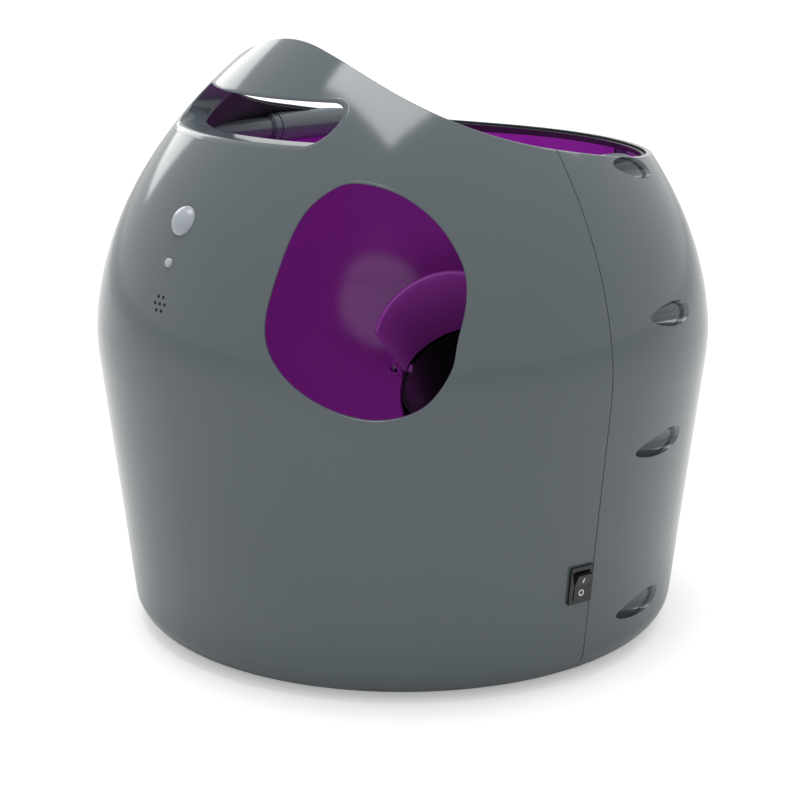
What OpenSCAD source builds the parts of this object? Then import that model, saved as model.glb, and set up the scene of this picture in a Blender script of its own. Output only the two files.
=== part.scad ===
// Automatic ball launcher for dogs: a round moulded body with a carrying handle,
// a ball hopper on top, a launch barrel behind a side opening, and a spring
// striker wound by a small gear motor. Millimetres, +Z up, the front is -Y.

/* [Body] */
// Widest diameter of the body
body_d = 372; // [340:2:420]
// Diameter of the body where the straight side meets the floor level
base_d = 331.6; // [300:2:360]
// Height of the widest line above the floor
shoulder_z = 176; // [160:2:200]
// Height of the dome above the widest line, to its imaginary tip
dome_h = 220; // [205:2:240]
// Rounding of the bottom edge
base_round = 18; // [10:1:26]
// Wall thickness of the body shells
wall = 3; // [2:0.5:4]
// Gap under the shells, taken up by the feet
shell_lift = 2; // [1:0.5:4]

/* [Rim and handle] */
// Distance of the handle's back face in front of the body's axis
handle_back_y = 79; // [70:1:90]
// Height of the rim at the sides of the body
rim_side_z = 302; // [290:1:312]
// Height of the rim at the back of the body
rim_back_z = 284; // [272:1:296]
// Width of the finger slot
slot_w = 142; // [110:2:150]
// Height of the finger slot
slot_h = 21.5; // [18:0.5:26]
// Height of the finger slot's lower edge
slot_z = 305.6; // [300:0.5:312]
// Depth of the collar that goes inwards round the slot
slot_depth = 13; // [6:1:16]

/* [Launch opening] */
// Angle of the opening from the front, towards the right
opening_az = 45; // [35:1:55]
// Height of the middle of the opening
opening_z = 228; // [218:1:238]
// Size factor of the opening's outline
opening_size = 1; // [0.85:0.01:1.1]

/* [Barrel] */
// Direction of the throw from the front, towards the right
throw_az = 25; // [15:1:30]
// Upward angle of the throw
throw_el = 42; // [38:1:45]
// Bore of the barrel, for a 65 mm ball
bore_d = 75; // [70:0.5:78]
// Wall thickness of the barrel
barrel_wall = 2.5; // [2:0.5:3.5]
// Length of the open hood at the mouth
hood_len = 52; // [44:1:60]
// Travel of the striker
striker_travel = 30; // [22:1:32]
// Largest downward tilt of the hood
hood_tilt = 20; // [10:1:22]

/* [Sensor panel] */
// Diameter of the motion sensor's lens
pir_d = 18; // [14:0.5:22]
// Height of the motion sensor
pir_z = 263; // [255:1:270]
// Height of the status lamp
led_z = 240.7; // [234:0.5:246]
// Height of the middle of the sounder holes
speaker_z = 218.7; // [210:0.5:226]

/* [Switch and dial] */
// Height of the power switch
switch_z = 62.5; // [50:0.5:80]
// Width of the switch's bezel
switch_w = 16; // [14:0.5:20]
// Height of the switch's bezel
switch_h = 22.5; // [19:0.5:26]
// Diameter of the distance dial
dial_d = 40; // [34:1:44]
// Height of the distance dial
dial_z = 100; // [90:1:104]

/* [Battery bay] */
// Width of the battery bay inside
bay_w = 104; // [98:1:106]
// Length of the battery bay inside
bay_l = 122; // [116:1:123]
// Height of the battery bay inside
bay_h = 36; // [34:1:40]

/* [Hidden] */

$fn = 96;
fit = 0.3;         // gap between pieces that sit beside each other
running = 0.06;    // radial gap of a shaft in its hole
press = 0.02;      // how much wider a hole is than a pin pressed into it
thread_gap = 0.1;  // how much wider a screw's hole is than the screw
beyond = 600;      // longer than the whole body, for pieces that only cut
slate = [0.36, 0.39, 0.41];
purple = [0.42, 0.10, 0.47];
dark = [0.10, 0.10, 0.11];
steel = [0.72, 0.73, 0.75];
brass = [0.78, 0.65, 0.35];

// ---- body outline: a straight flaring side, a rounded foot and a full dome ----
body_r = body_d / 2;
flare = atan((body_d - base_d) / 2 / shoulder_z);
dome_side = 1.95;    // fullness of the dome near the shoulder
dome_top = 1.34;     // fullness of the dome near the tip
dome_steps = 20;
dome_end = 0.85;     // share of the dome that the rim cut leaves
foot_z = shell_lift + base_round;
foot_r = base_d / 2 + foot_z * tan(flare) - base_round / cos(flare);
bottom_flange = 8;   // the shells turn inwards at the foot by this much, round the base plate
function dome_r(u) = body_r * pow(1 - pow(u, dome_side), 1 / dome_top);
shoulder_soft = 10;  // height over which the shoulder is rounded, above and below
function shoulder_point(t) = let (z = shoulder_z, b = shoulder_soft, s = 1 - t)
    s * s * [side_r(z - b), z - b] + 2 * s * t * [body_r, z] + t * t * [side_r(z + b), z + b];
function body_points() = concat(
    [for (i = [0:6]) let (a = -90 + i * (90 - flare) / 6)
        [foot_r + base_round * cos(a), foot_z + base_round * sin(a)]],
    [for (i = [0:4]) shoulder_point(i / 4)],
    [for (i = [1:dome_steps]) let (u0 = shoulder_soft / dome_h, u = u0 + (dome_end - u0) * i / dome_steps)
        [dome_r(u), shoulder_z + dome_h * u]]);
outline = body_points();
last = len(outline) - 1;
function inward(i) = let (t = outline[min(i + 1, last)] - outline[max(i - 1, 0)]) [-t[1], t[0]] / norm(t);
function inset_points(d) = [for (i = [0:last]) i == 0 ? outline[0] + [0, d] : outline[i] + d * inward(i)];
// radius of the outer surface at height z, and the lean of that surface
function side_r(z) = z < shoulder_z
    ? base_d / 2 + z * tan(flare)
    : dome_r((z - shoulder_z) / dome_h);
function lean(z) = atan((side_r(z + 1) - side_r(z - 1)) / 2);

turn_start = -126;    // where each turned surface begins: in front on the left, clear of every opening
module body_solid(d = 0) {
    points = inset_points(d);
    rotate(turn_start) rotate_extrude($fn = 180)
        polygon(concat([[0, shell_lift + d]], points, [[0, points[last][1]]]));
}

// a ring of the body's wall between two depths, from outline point i0 upwards
opening_r = foot_r - bottom_flange;
dome_start = 11;      // the outline point where the dome begins
module body_ring(outer, inner, i0 = dome_start) {
    a = inset_points(outer);
    b = inset_points(inner);
    rotate(turn_start) rotate_extrude($fn = 180) polygon(concat(
        i0 == 0 ? [[opening_r, b[0][1]], [opening_r, a[0][1]]] : [],
        [for (i = [i0:last]) a[i]],
        [for (i = [last:-1:i0]) b[i]]));
}

function bezier(p, n) = [for (i = [0:n]) let (t = i / n, s = 1 - t)
    s * s * s * p[0] + 3 * s * s * t * p[1] + 3 * s * t * t * p[2] + t * t * t * p[3]];
function smooth_loop(p, n) = [for (i = [0:len(p) - 1], k = [0:n - 1])
    let (t = k / n, m = len(p), a = p[(i + m - 1) % m], b = p[i], c = p[(i + 1) % m], d = p[(i + 2) % m])
    0.5 * (2 * b + t * (c - a) + t * t * (2 * a - 5 * b + 4 * c - d) + t * t * t * (3 * b - a - 3 * c + d))];

// space above the rim: behind the handle it drops, then falls gently to the back
module above_rim(lower = 0) {
    side = rim_side_z - lower;
    back_y = -handle_back_y + lower;
    handle = concat([[back_y, beyond]],
                    bezier([[back_y, side + 50], [back_y + 4, side + 25], [-45, side + 8.5], [0, side]], 12));
    back_z = rim_back_z - lower;
    back = bezier([[0, side], [45, side - 8.5], [95, back_z + 0.5], [165, back_z]], 8);
    rotate([90, 0, 90]) linear_extrude(height = 2 * body_d, center = true)
        polygon(concat(handle, [for (i = [1:8]) back[i]],
                       [[body_d, back_z], [body_d, beyond]]));
}

module slot_outline(grow = 0) {
    r = slot_h / 2 + grow;
    translate([0, slot_z + slot_h / 2]) {
        square([slot_w - slot_h, 2 * r], center = true);
        for (s = [-1, 1]) translate([s * (slot_w - slot_h) / 2, 0]) circle(r = r);
    }
}
module slot_cut(grow = 0) {
    rotate([90, 0, 0]) linear_extrude(height = body_d) slot_outline(grow);
}

// outline of the launch opening, seen along its own direction: [across, above its middle]
opening_points = [[-7, 61], [16, 56], [37, 42], [51, 22], [54, 4], [50.5, -16], [46.5, -34], [32, -52],
                  [7.6, -58.5], [-20, -52], [-43, -36], [-52.5, -15], [-47, 14], [-36, 42], [-22, 56]];
module opening_cut() {
    rotate([0, 0, opening_az]) rotate([90, 0, 0]) translate([0, opening_z]) linear_extrude(height = body_d)
        polygon(smooth_loop(opening_size * opening_points, 4));
}

// a place on the side of the body: angle from the front, height; local +Z points out of the wall
module on_side(az, z) {
    rotate([0, 0, az]) translate([0, -side_r(z), z]) rotate([90 + lean(z), 0, 0]) children();
}
panel_az = 4;                                  // the sensor panel sits just right of the middle
switch_az = 90 - asin((switch_w / 2 + 1) / side_r(switch_z));
led_d = 5.6;
lens_gap = 0.3;                                // how much wider a lens's hole is than the lens
speaker_hole_d = 2.2;
speaker_pitch = 4.4;
module seven_holes(pitch) {
    children();
    for (a = [0:60:300]) rotate(a) translate([pitch, 0]) children();
}

// ---- the eight joining screws, each in a deep round pocket in the back ----
pocket_d = 14;
pocket_floor = 22;      // how far behind the seam the screw heads sit
boss_len = 18;
screw_d = 4;
screw_head_d = 8;
screw_head_h = 3;
cross_l = 4.6;          // cross recess of a screw: length, width and depth
cross_w = 1.1;
cross_h = 1.8;
pocket_heights = [34, 134.5, 208.5, rim_side_z - 16];
// the pockets lie just inside the wall at their height
function pocket_x(z) = sqrt(pow(side_r(z + (z > shoulder_z ? pocket_d / 2 : 0)), 2) - pow(pocket_floor, 2))
    - pocket_d / 2 - 0.5;
pocket_spots = [for (z = pocket_heights, s = [-1, 1]) [s * pocket_x(z), 0, z]];
module at_pockets() { for (p = pocket_spots) translate(p) children(); }
module along_y(d, from, to) { translate([0, from, 0]) rotate([-90, 0, 0]) cylinder(d = d, h = to - from); }
// the top pair of bosses shows inside the handle: it runs forward until it meets the wall
boss_d = 14;
top_boss_len = 64;
collar_d = 18;
collar_len = 5;
tube_d = pocket_d + 5;
module front_boss(z, gap = 0) {
    long = z == max(pocket_heights);
    along_y(boss_d + 2 * gap, -(long ? top_boss_len : boss_len) - gap, 1);
    if (long) along_y(collar_d + 2 * gap, -collar_len - gap, 1);
}
// room for the bosses and tubes that stand in the hopper
module upper_pockets(gap) {
    for (p = pocket_spots) if (p[2] > shoulder_z) translate(p) {
        front_boss(p[2], gap);
        along_y(tube_d + 2 * gap, 0, body_r);
    }
}

pocket_sides = 24;
module pocket() {
    step = 360 / pocket_sides;
    translate([0, pocket_floor, 0]) rotate([-90, 0, 0]) linear_extrude(height = body_r)
        polygon([for (i = [0.5:pocket_sides]) pocket_d / 2 * [cos(i * step), sin(i * step)]]);
}

seam = 0.15;
module front_half() { translate([-body_d, -2 * body_d - seam, -1]) cube([2 * body_d, 2 * body_d, beyond]); }
module rear_half() { translate([-body_d, seam, -1]) cube([2 * body_d, 2 * body_d, beyond]); }
// posts for the sensor board, on the inside of the front shell: [across, up] from the board's middle
post_spots = [[-11, -9], [11, -9]];
post_d = 5;

module front_shell() {
    color(slate) difference() {
        intersection() {
            union() {
                body_ring(0, wall, 0);
                for (p = pocket_spots) intersection() {
                    body_solid(wall / 2);
                    translate(p) front_boss(p[2]);
                }
                on_side(panel_az, board_mid_z) for (p = post_spots) translate([p[0], p[1], -board_depth])
                    cylinder(d = post_d, h = board_depth - wall / 2);
                intersection() {
                    slot_cut(wall);
                    body_ring(wall / 2, slot_depth);
                }
            }
            front_half();
        }
        above_rim();
        slot_cut();
        opening_cut();
        at_pockets() along_y(screw_d + thread_gap, -boss_len + 2, 1);
        on_side(panel_az, pir_z) cylinder(d = pir_d + lens_gap, h = 20, center = true);
        on_side(panel_az, led_z) cylinder(d = led_d + lens_gap, h = 20, center = true);
        on_side(panel_az, speaker_z) seven_holes(speaker_pitch)
            cylinder(d = speaker_hole_d, h = 20, center = true);
        on_side(switch_az, switch_z)
            cube([switch_body_w + 2 * fit, switch_body_h + 2 * fit, 20], center = true);
    }
}

module rear_shell() {
    color(slate) difference() {
        intersection() {
            union() {
                body_ring(0, wall, 0);
                for (p = pocket_spots) intersection() {
                    body_solid(wall / 2);
                    translate(p) along_y(tube_d, 0, body_r);
                }
            }
            rear_half();
        }
        above_rim();
        at_pockets() along_y(screw_d + 0.6, -1, pocket_floor + 1);
        at_pockets() pocket();
        on_side(180, dial_z) cylinder(d = dial_shaft_d + 2 * running, h = 30, center = true);
        on_side(180, dc_z) cylinder(d = jack_d + fit, h = 30, center = true);
    }
}

module shell_screws() {
    color(steel) at_pockets() difference() {
        union() {
            along_y(screw_d, -boss_len + 4, pocket_floor);
            along_y(screw_head_d, pocket_floor, pocket_floor + screw_head_h);
        }
        for (turn = [0, 90]) rotate([0, turn, 0]) translate([0, pocket_floor + screw_head_h, 0])
            cube([cross_l, 2 * cross_h, cross_w], center = true);
    }
}

// ---- hopper ----
liner_t = 2.5;
bowl_top_z = 279;
bowl_slope = 16;
chute_len = 96;       // from the barrel's axis to the hopper floor
module rim_liner() {
    color(dark) difference() {
        body_ring(wall + fit, wall + fit + liner_t);
        above_rim(1.5);
        translate([0, 0, bowl_top_z - 300]) cube([2 * body_d, 2 * body_d, 600], center = true);
        slot_cut(wall + fit);
        opening_cut();
        upper_pockets(fit);
        cavity_solid(2 * liner_t + 2 * fit);
    }
}

// the barrel's frame: local +Z is the throw, +Y its upper side, +X its right side
mouth_in = 67;        // the mouth's middle lies this far inside the body's widest line,
mouth_turn = 16.9275; // this far round from the middle of the launch opening
mouth_drop = 25.5;    // and this far below it
mouth_r = body_r - mouth_in;
mouth_az = opening_az + mouth_turn;
mouth = [mouth_r * sin(mouth_az), -mouth_r * cos(mouth_az), opening_z - mouth_drop];
module barrel_frame() { translate(mouth) rotate([0, 0, throw_az]) rotate([90 - throw_el, 0, 0]) children(); }
function barrel_point(y, z) = let (h = z * cos(throw_el) - y * sin(throw_el))
    mouth + [h * sin(throw_az), -h * cos(throw_az), z * sin(throw_el) + y * cos(throw_el)];
barrel_r = bore_d / 2 + barrel_wall;
ball_d = 65;
breech_run = 93;                      // from the hood's pivot back to the resting striker
striker_face = -hood_len - breech_run;
feed_at = striker_face + ball_d / 2;  // the loaded ball's middle, and the feed hole's
feed_r = bore_d / 2 - 1;
hopper_hole = barrel_point(chute_len, feed_at);
floor_drop = 4;                       // the floor's low point lies this far below the feed hole's middle
floor_z = hopper_hole[2] - floor_drop;

// funnel-shaped space above the hopper floor, its low point at the feed hole
module above_floor(drop = 0) {
    reach = body_d;
    translate([hopper_hole[0], hopper_hole[1], floor_z - drop])
        rotate_extrude($fn = 120)
            polygon([[0, 0], [reach, reach * tan(bowl_slope)], [reach, reach], [0, reach]]);
}
// the rounded recess behind the launch opening
cavity_r = 82;
cavity_in = 61;       // its middle lies this far inside the body's widest line
cavity_drop = 6;      // and this far below the middle of the opening
module cavity_solid(grow = 0) {
    rotate([0, 0, opening_az]) translate([0, cavity_in - body_r, opening_z - cavity_drop])
        sphere(r = cavity_r + grow, $fn = 120);
}
// the hopper wall steps inwards over the sensor board
module sensor_cover(grow) {
    on_side(panel_az, board_mid_z) translate([0, 0, -10])
        cube([sensor_board_w + 4 + 2 * grow, sensor_board_l + 6 + 2 * grow, 20 + 2 * grow], center = true);
}
module hopper_bowl() {
    gap = wall + 2 * fit;
    color(purple) difference() {
        intersection() {
            union() {
                body_ring(gap, gap + liner_t);
                intersection() {
                    body_solid(gap + liner_t / 2);
                    union() {
                        difference() { above_floor(liner_t); above_floor(); }
                        cavity_solid(2 * liner_t + fit);
                        sensor_cover(2);
                    }
                }
            }
            above_floor(liner_t);
        }
        difference() {
            translate([0, 0, bowl_top_z - fit]) cylinder(r = body_d, h = 200);
            intersection() {
                cavity_solid(2 * liner_t + fit);
                body_solid(gap + liner_t + fit);
            }
        }
        cavity_solid(liner_t + fit);
        sensor_cover(0);
        above_rim(6);
        barrel_frame() translate([0, 0, feed_at]) rotate([-90, 0, 0]) cylinder(r = feed_r, h = 200);
        upper_pockets(fit);
        slot_cut(wall + fit);
    }
}

// ---- launch cavity, barrel and hood ----
hood_pivot = [0, -hood_len];          // [up, along] in the barrel's frame
// room for the hood at every angle, and for its pins
module hood_room(gap) {
    barrel_frame() translate([0, hood_pivot[0], hood_pivot[1]]) {
        rotate([hood_tilt / 2, 0, 0]) translate([0, 0, -60])
            cylinder(r = barrel_r + ear_t + gap, h = hood_len + 108);
        rotate([0, 90, 0]) cylinder(d = pin_d + 8, h = 2 * barrel_r + 24, center = true);
    }
}
module launch_cavity() {
    color(purple) difference() {
        intersection() {
            difference() { cavity_solid(liner_t); cavity_solid(); }
            body_solid(wall + fit);
        }
        hood_room(3);
        upper_pockets(fit);
    }
}

ear_t = 3;
pin_d = 5;
oblique = 18;                         // lean of the joint between hood and breech
hood_skirt = 5;                       // how far the half-pipe reaches below the barrel's middle
pin_head = 1.4;
ear_d = 12;
ear_back = 9;                         // how far the ears and their webs reach past the pivot
module oblique_side(shift) {
    translate([0, 0, hood_pivot[1] + shift]) rotate([-oblique, 0, 0]) translate([0, 0, beyond / 2])
        cube(beyond, center = true);
}
module hood_ears() {
    for (s = [-1, 1]) translate([s * (barrel_r + fit + ear_t / 2), hood_pivot[0], hood_pivot[1]])
        rotate([0, 90, 0]) cylinder(d = ear_d, h = ear_t, center = true);
}
module launch_hood() {
    color(purple) barrel_frame() difference() {
        union() {
            intersection() {
                translate([0, 0, -2 * hood_len]) cylinder(r = barrel_r, h = 2 * hood_len);
                translate([-2 * barrel_r, -hood_skirt, -2 * hood_len])
                    cube([4 * barrel_r, 4 * barrel_r, 4 * hood_len]);
                oblique_side(4);
            }
            hood_ears();
            for (s = [-1, 1]) translate([s * (barrel_r + fit + ear_t / 2 - 1), 0, hood_pivot[1] + ear_back])
                cube([ear_t + 2, 9, 8], center = true);
        }
        translate([0, 0, -2 * beyond]) cylinder(d = bore_d, h = 3 * beyond);
        translate([0, hood_pivot[0], hood_pivot[1]]) rotate([0, 90, 0])
            cylinder(d = pin_d + 2 * running, h = 4 * barrel_r, center = true);
    }
}
module hood_pins() {
    color(steel) barrel_frame() for (s = [-1, 1])
        translate([s * (barrel_r + 2), hood_pivot[0], hood_pivot[1]]) rotate([0, 90, 0]) {
            cylinder(d = pin_d, h = 2 * ear_t + 3, center = true);
            translate([0, 0, s * (ear_t + 1.5 + pin_head / 2)])
                cylinder(d = pin_d + 3, h = pin_head, center = true);
        }
}
disc_back = 6;                        // from the striker's face to the back of its disc
spring_short = 20;                    // length of the fully wound spring
cap_at = striker_face - disc_back - striker_travel - spring_short;   // front face of the end cap
cap_flange = 5;
cap_screw_r = barrel_r + 1.8;
cap_screw_d = 2.5;
module breech_tube() {
    color(dark) barrel_frame() difference() {
        union() {
            difference() {
                translate([0, 0, cap_at + fit]) cylinder(r = barrel_r, h = -cap_at - fit);
                oblique_side(-1);
            }
            intersection() {
                translate([0, 0, cap_at + fit]) cylinder(r = barrel_r + cap_flange, h = 5);
                translate([0, 0, cap_at]) cube([4 * barrel_r, 4 * barrel_r, 50], center = true);
            }
            for (s = [-1, 1]) translate([s * (barrel_r - barrel_wall / 2), 0, hood_pivot[1] - 6])
                cube([barrel_wall, pin_d + 4, 12], center = true);
        }
        translate([0, 0, -beyond]) cylinder(d = bore_d, h = 2 * beyond);
        translate([0, 0, feed_at]) rotate([-90, 0, 0]) cylinder(r = feed_r, h = 200);
        translate([0, hood_pivot[0], hood_pivot[1]]) rotate([0, 90, 0])
            cylinder(d = pin_d + press, h = 4 * barrel_r, center = true);
        for (a = cap_screw_angles) rotate(a) translate([cap_screw_r, 0, cap_at])
            cylinder(d = cap_screw_d + thread_gap, h = 5);
    }
}
chute_wall = 2.5;
module feed_chute() {
    color(purple) difference() {
        barrel_frame() translate([0, 0, feed_at]) rotate([-90, 0, 0]) difference() {
            cylinder(r = feed_r + chute_wall, h = 170);
            translate([0, 0, -1]) cylinder(r = feed_r, h = 180);
        }
        barrel_frame() translate([0, 0, -beyond]) cylinder(r = barrel_r + fit, h = beyond);
        above_floor(liner_t + fit);
    }
}

// ---- striker, spring and drive ----
rod_w = 12;
pinion_r = 9;
tooth_m = 1;
pinion_teeth = 2 * pinion_r / tooth_m;
final_teeth = 32;
idler_big = 32;
idler_small = 12;
motor_teeth = 10;
cap_t = 4;
// the pinion's place along the barrel, clear of the cap
drive_z = cap_at - cap_t - final_teeth * tooth_m / 2 - 2;
mesh_gap = 0.15;         // between the rack's and the pinion's pitch lines
pinion_y = -rod_w / 2 - pinion_r - mesh_gap;
idler_y = pinion_y + tooth_m * (final_teeth + idler_small) / 2;
motor_off = tooth_m * (idler_big + motor_teeth) / 2;
motor_dir = 135;                             // direction of the motor from the idler
motor_y = idler_y + motor_off * sin(motor_dir);
motor_zz = drive_z + motor_off * cos(motor_dir);

rod_end = drive_z - 8;
disc_t = 4;
pad_t = 2;
module striker() {
    color(slate) barrel_frame() difference() {
        union() {
            translate([0, 0, striker_face - disc_back]) cylinder(r = bore_d / 2 - 3, h = disc_t);
            translate([-rod_w / 2, -rod_w / 2, rod_end])
                cube([rod_w, rod_w, striker_face - disc_back - rod_end]);
        }
        rack_gaps();
    }
}
rack_pitch = PI * tooth_m;
module rack_gaps() {
    // tooth gaps along the underside, one of them facing the pinion's tooth
    for (i = [-1:ceil(striker_travel / rack_pitch)])
        translate([0, -rod_w / 2, drive_z + i * rack_pitch]) rotate([90, 0, 90])
            linear_extrude(height = rod_w + 2, center = true) rotate(90)
                polygon([[-1.1, -1.1], [-1.1, 1.1], [1.4, 0.6], [1.4, -0.6]]);
}
module striker_pad() {
    color([0.2, 0.2, 0.2]) barrel_frame() translate([0, 0, striker_face - pad_t])
        cylinder(r = bore_d / 2 - 4, h = pad_t);
}
spring_r = 20;
spring_wire = 3.5;
module striker_spring() {
    color(steel) barrel_frame() translate([0, 0, cap_at + fit]) difference() {
        cylinder(r = spring_r, h = striker_face - disc_back - cap_at - 2 * fit);
        translate([0, 0, -1]) cylinder(r = spring_r - spring_wire, h = beyond);
    }
}
cap_screw_angles = [60, 120, 240, 300];
module end_cap() {
    color(dark) barrel_frame() difference() {
        union() {
            translate([0, 0, cap_at - cap_t]) cylinder(r = barrel_r + cap_flange, h = cap_t);
            for (y = [pinion_y - 10, idler_y + 7]) translate([plate_in - 6, y, cap_at - cap_t - 8])
                cube([6, 8, 8.5]);
        }
        translate([0, 0, cap_at]) cube([rod_w + 2 * fit, rod_w + 2 * fit, 60], center = true);
        for (a = cap_screw_angles) rotate(a) translate([cap_screw_r, 0, cap_at - 10])
            cylinder(d = cap_screw_d + 2 * fit + thread_gap, h = 20);
    }
}
module end_cap_screws() {
    color(steel) barrel_frame() for (a = cap_screw_angles) rotate(a)
        translate([cap_screw_r, 0, cap_at - cap_t - 2]) {
            cylinder(d = 4.6, h = 2);
            cylinder(d = cap_screw_d, h = cap_t + 6);
        }
}

// spur gear with straight-sided teeth; a tooth points along +X
module gear(teeth, h) {
    r = teeth * tooth_m / 2;
    step = 360 / teeth;
    linear_extrude(height = h) polygon([for (i = [0:teeth - 1])
        each [for (q = [[-0.29, -1.2], [-0.13, 0.85], [0.13, 0.85], [0.29, -1.2]])
            (r + q[1] * tooth_m) * [cos((i + q[0]) * step), sin((i + q[0]) * step)]]]);
}
shaft_d = 4;
plate_in = 14;          // inner faces of the two gearbox plates, across the barrel
plate_out = 38;
plate_t = 2.5;
hub_d = 9;              // the rack pinion's hub, which turns in the inner plate
hub_out = 3;            // and stands out of it by this much
gear_x = plate_in + plate_t + hub_out + fit;   // where the gears start
final_w = 6;
idler_small_w = 7;
module shaft_place(y, z, x) { barrel_frame() translate([x, y, z]) rotate([0, 90, 0]) children(); }
// in a shaft's frame local +X points along -Z of the barrel, local +Y along +Y
module gear_with_hole(teeth, h, turn, hole) {
    difference() {
        rotate(turn) gear(teeth, h);
        translate([0, 0, -1]) cylinder(d = hole, h = h + 2, $fn = 48);
    }
}
module rack_pinion() {
    color(brass) shaft_place(pinion_y, drive_z, -rod_w / 2) {
        gear_with_hole(pinion_teeth, rod_w, 90, shaft_d + 2 * running);
        translate([0, 0, rod_w]) difference() {
            cylinder(d = hub_d, h = plate_in + plate_t - rod_w / 2 + hub_out);
            translate([0, 0, -1]) cylinder(d = shaft_d + 2 * running, h = 40, $fn = 48);
        }
    }
}
module final_gear() {
    color([0.9, 0.9, 0.86]) shaft_place(pinion_y, drive_z, gear_x)
        gear_with_hole(final_teeth, final_w, 90 + 180 / final_teeth, shaft_d + 2 * running);
}
module idler_gear() {
    color([0.9, 0.9, 0.86]) {
        shaft_place(idler_y, drive_z, gear_x)
            gear_with_hole(idler_small, idler_small_w, -90, shaft_d + 2 * running);
        shaft_place(idler_y, drive_z, gear_x + idler_small_w)
            gear_with_hole(idler_big, 5, idler_turn, shaft_d + 2 * running);
    }
}
// the idler's large gear turned so that one of its gaps faces the motor
motor_bearing = atan2(motor_y - idler_y, -(motor_zz - drive_z));
idler_turn = motor_bearing + 180 / idler_big;
module motor_pinion() {
    color(brass) shaft_place(motor_y, motor_zz, gear_x + final_w)
        gear_with_hole(motor_teeth, 8, motor_bearing + 180, motor_shaft_d + press);
}
motor_r = 12;
motor_l = 30;
motor_shaft_d = 2;
module motor() {
    color(steel) shaft_place(motor_y, motor_zz, plate_in - fit - motor_l) {
        intersection() {
            cylinder(r = motor_r, h = motor_l);
            translate([0, 0, motor_l / 2]) cube([1.5 * motor_r, 2 * motor_r, 40], center = true);
        }
        translate([0, 0, motor_l - 1]) cylinder(d = motor_shaft_d, h = 24);
        translate([0, 0, -2]) cylinder(d = 6, h = 3);
        for (s = [-1, 1]) translate([0, s * 7, -1.5]) cube([0.6, 2.4, 5], center = true);
    }
}
module gear_shafts() {
    color(steel) {
        shaft_place(pinion_y, drive_z, -rod_w / 2 - 3)
            cylinder(d = shaft_d, h = plate_out + rod_w / 2 + 3 + plate_t);
        shaft_place(idler_y, drive_z, plate_in) cylinder(d = shaft_d, h = plate_out - plate_in + plate_t);
    }
}
// outline of the gearbox plates, in a shaft's frame
module plate_outline() {
    hull() {
        for (p = gearbox_spots) translate(p) circle(r = 5);
        translate([plate_front, pinion_y - 12]) circle(r = 6);
        translate([plate_front, idler_y + 20]) circle(r = 6);
        translate([drive_z - motor_zz, motor_y]) circle(r = 13);
    }
}
plate_front = drive_z - cap_at + cap_t;      // negative of the distance to the end cap
post_pin_d = 3;
post_wide_d = 5;
module plate_at(x, motor_hole) {
    barrel_frame() translate([x, 0, drive_z]) rotate([0, 90, 0]) difference() {
        linear_extrude(height = plate_t) intersection() {
            plate_outline();
            translate([plate_front + fit, -beyond / 2]) square(beyond);
        }
        translate([0, pinion_y, -1]) cylinder(d = shaft_d + 2 * running, h = 10, $fn = 48);
        translate([0, idler_y, -1]) cylinder(d = shaft_d + press, h = 10, $fn = 48);
        if (motor_hole > 0) translate([drive_z - motor_zz, motor_y, -1]) cylinder(d = motor_hole, h = 10);
        for (p = gearbox_spots) translate([p[0], p[1], -1]) cylinder(d = post_pin_d + thread_gap, h = 10);
    }
}
gearbox_spots = [[-14, pinion_y - 16], [16, pinion_y - 13], [-14, idler_y + 18], [29, idler_y + 5]];
module gearbox_inner_plate() {
    color(steel) difference() {
        plate_at(plate_in, 4);
        shaft_place(pinion_y, drive_z, plate_in - 1) cylinder(d = hub_d + 4 * running, h = 10);
    }
}
module gearbox_outer_plate() { color(steel) plate_at(plate_out, 0); }
module gearbox_posts() {
    color(brass) for (p = gearbox_spots) barrel_frame() translate([plate_in, 0, drive_z]) rotate([0, 90, 0])
        translate([p[0], p[1], 0]) {
            translate([0, 0, -1.5]) cylinder(d = post_wide_d, h = 1.5);
            cylinder(d = post_pin_d, h = plate_out - plate_in + plate_t);
            translate([0, 0, plate_t]) cylinder(d = post_wide_d, h = plate_out - plate_in - plate_t);
            translate([0, 0, plate_out - plate_in + plate_t]) cylinder(d = post_wide_d, h = 1.5);
        }
}

// ---- base, cradle, battery bay, electronics ----
plate_z = shell_lift + wall;
base_t = 3;
top_of_base = plate_z + base_t;
base_plate_r = foot_r - fit;
bay_y = -65;            // middle of the battery bay
bay_wall = 2;
board_at = [-78, 62];
board_size = [84, 58];
board_z = top_of_base + 6;
board_hole_in = 4;      // the board's holes lie this far from its edges
board_t = 1.6;
feet_in = 21.7;         // the feet stand this far inside the edge of the base plate
feet_at = base_plate_r - feet_in;
foot_d = 18;
stem_d = 6;             // the stem of a foot, through its hole in the base plate
bolt_d = 3;
boss_top = top_of_base + 4;     // top of the bosses under the cradle
cradle_t = 3;
module at_feet() { for (a = [45:90:315]) rotate(a) translate([feet_at, 0, 0]) children(); }
board_holes = [for (sx = [-1, 1], sy = [-1, 1])
    [sx * (board_size[0] / 2 - board_hole_in), sy * (board_size[1] / 2 - board_hole_in), 0]];
module at_board() { translate([board_at[0], board_at[1], 0]) for (p = board_holes) translate(p) children(); }
cradle_centre = barrel_point(0, striker_face - 12);
module cradle_frame() {
    translate([cradle_centre[0], cradle_centre[1], 0]) rotate([0, 0, throw_az]) children();
}
cradle_bolts = [[-27, -30], [27, -30], [-27, 30], [27, 30]];
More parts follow.
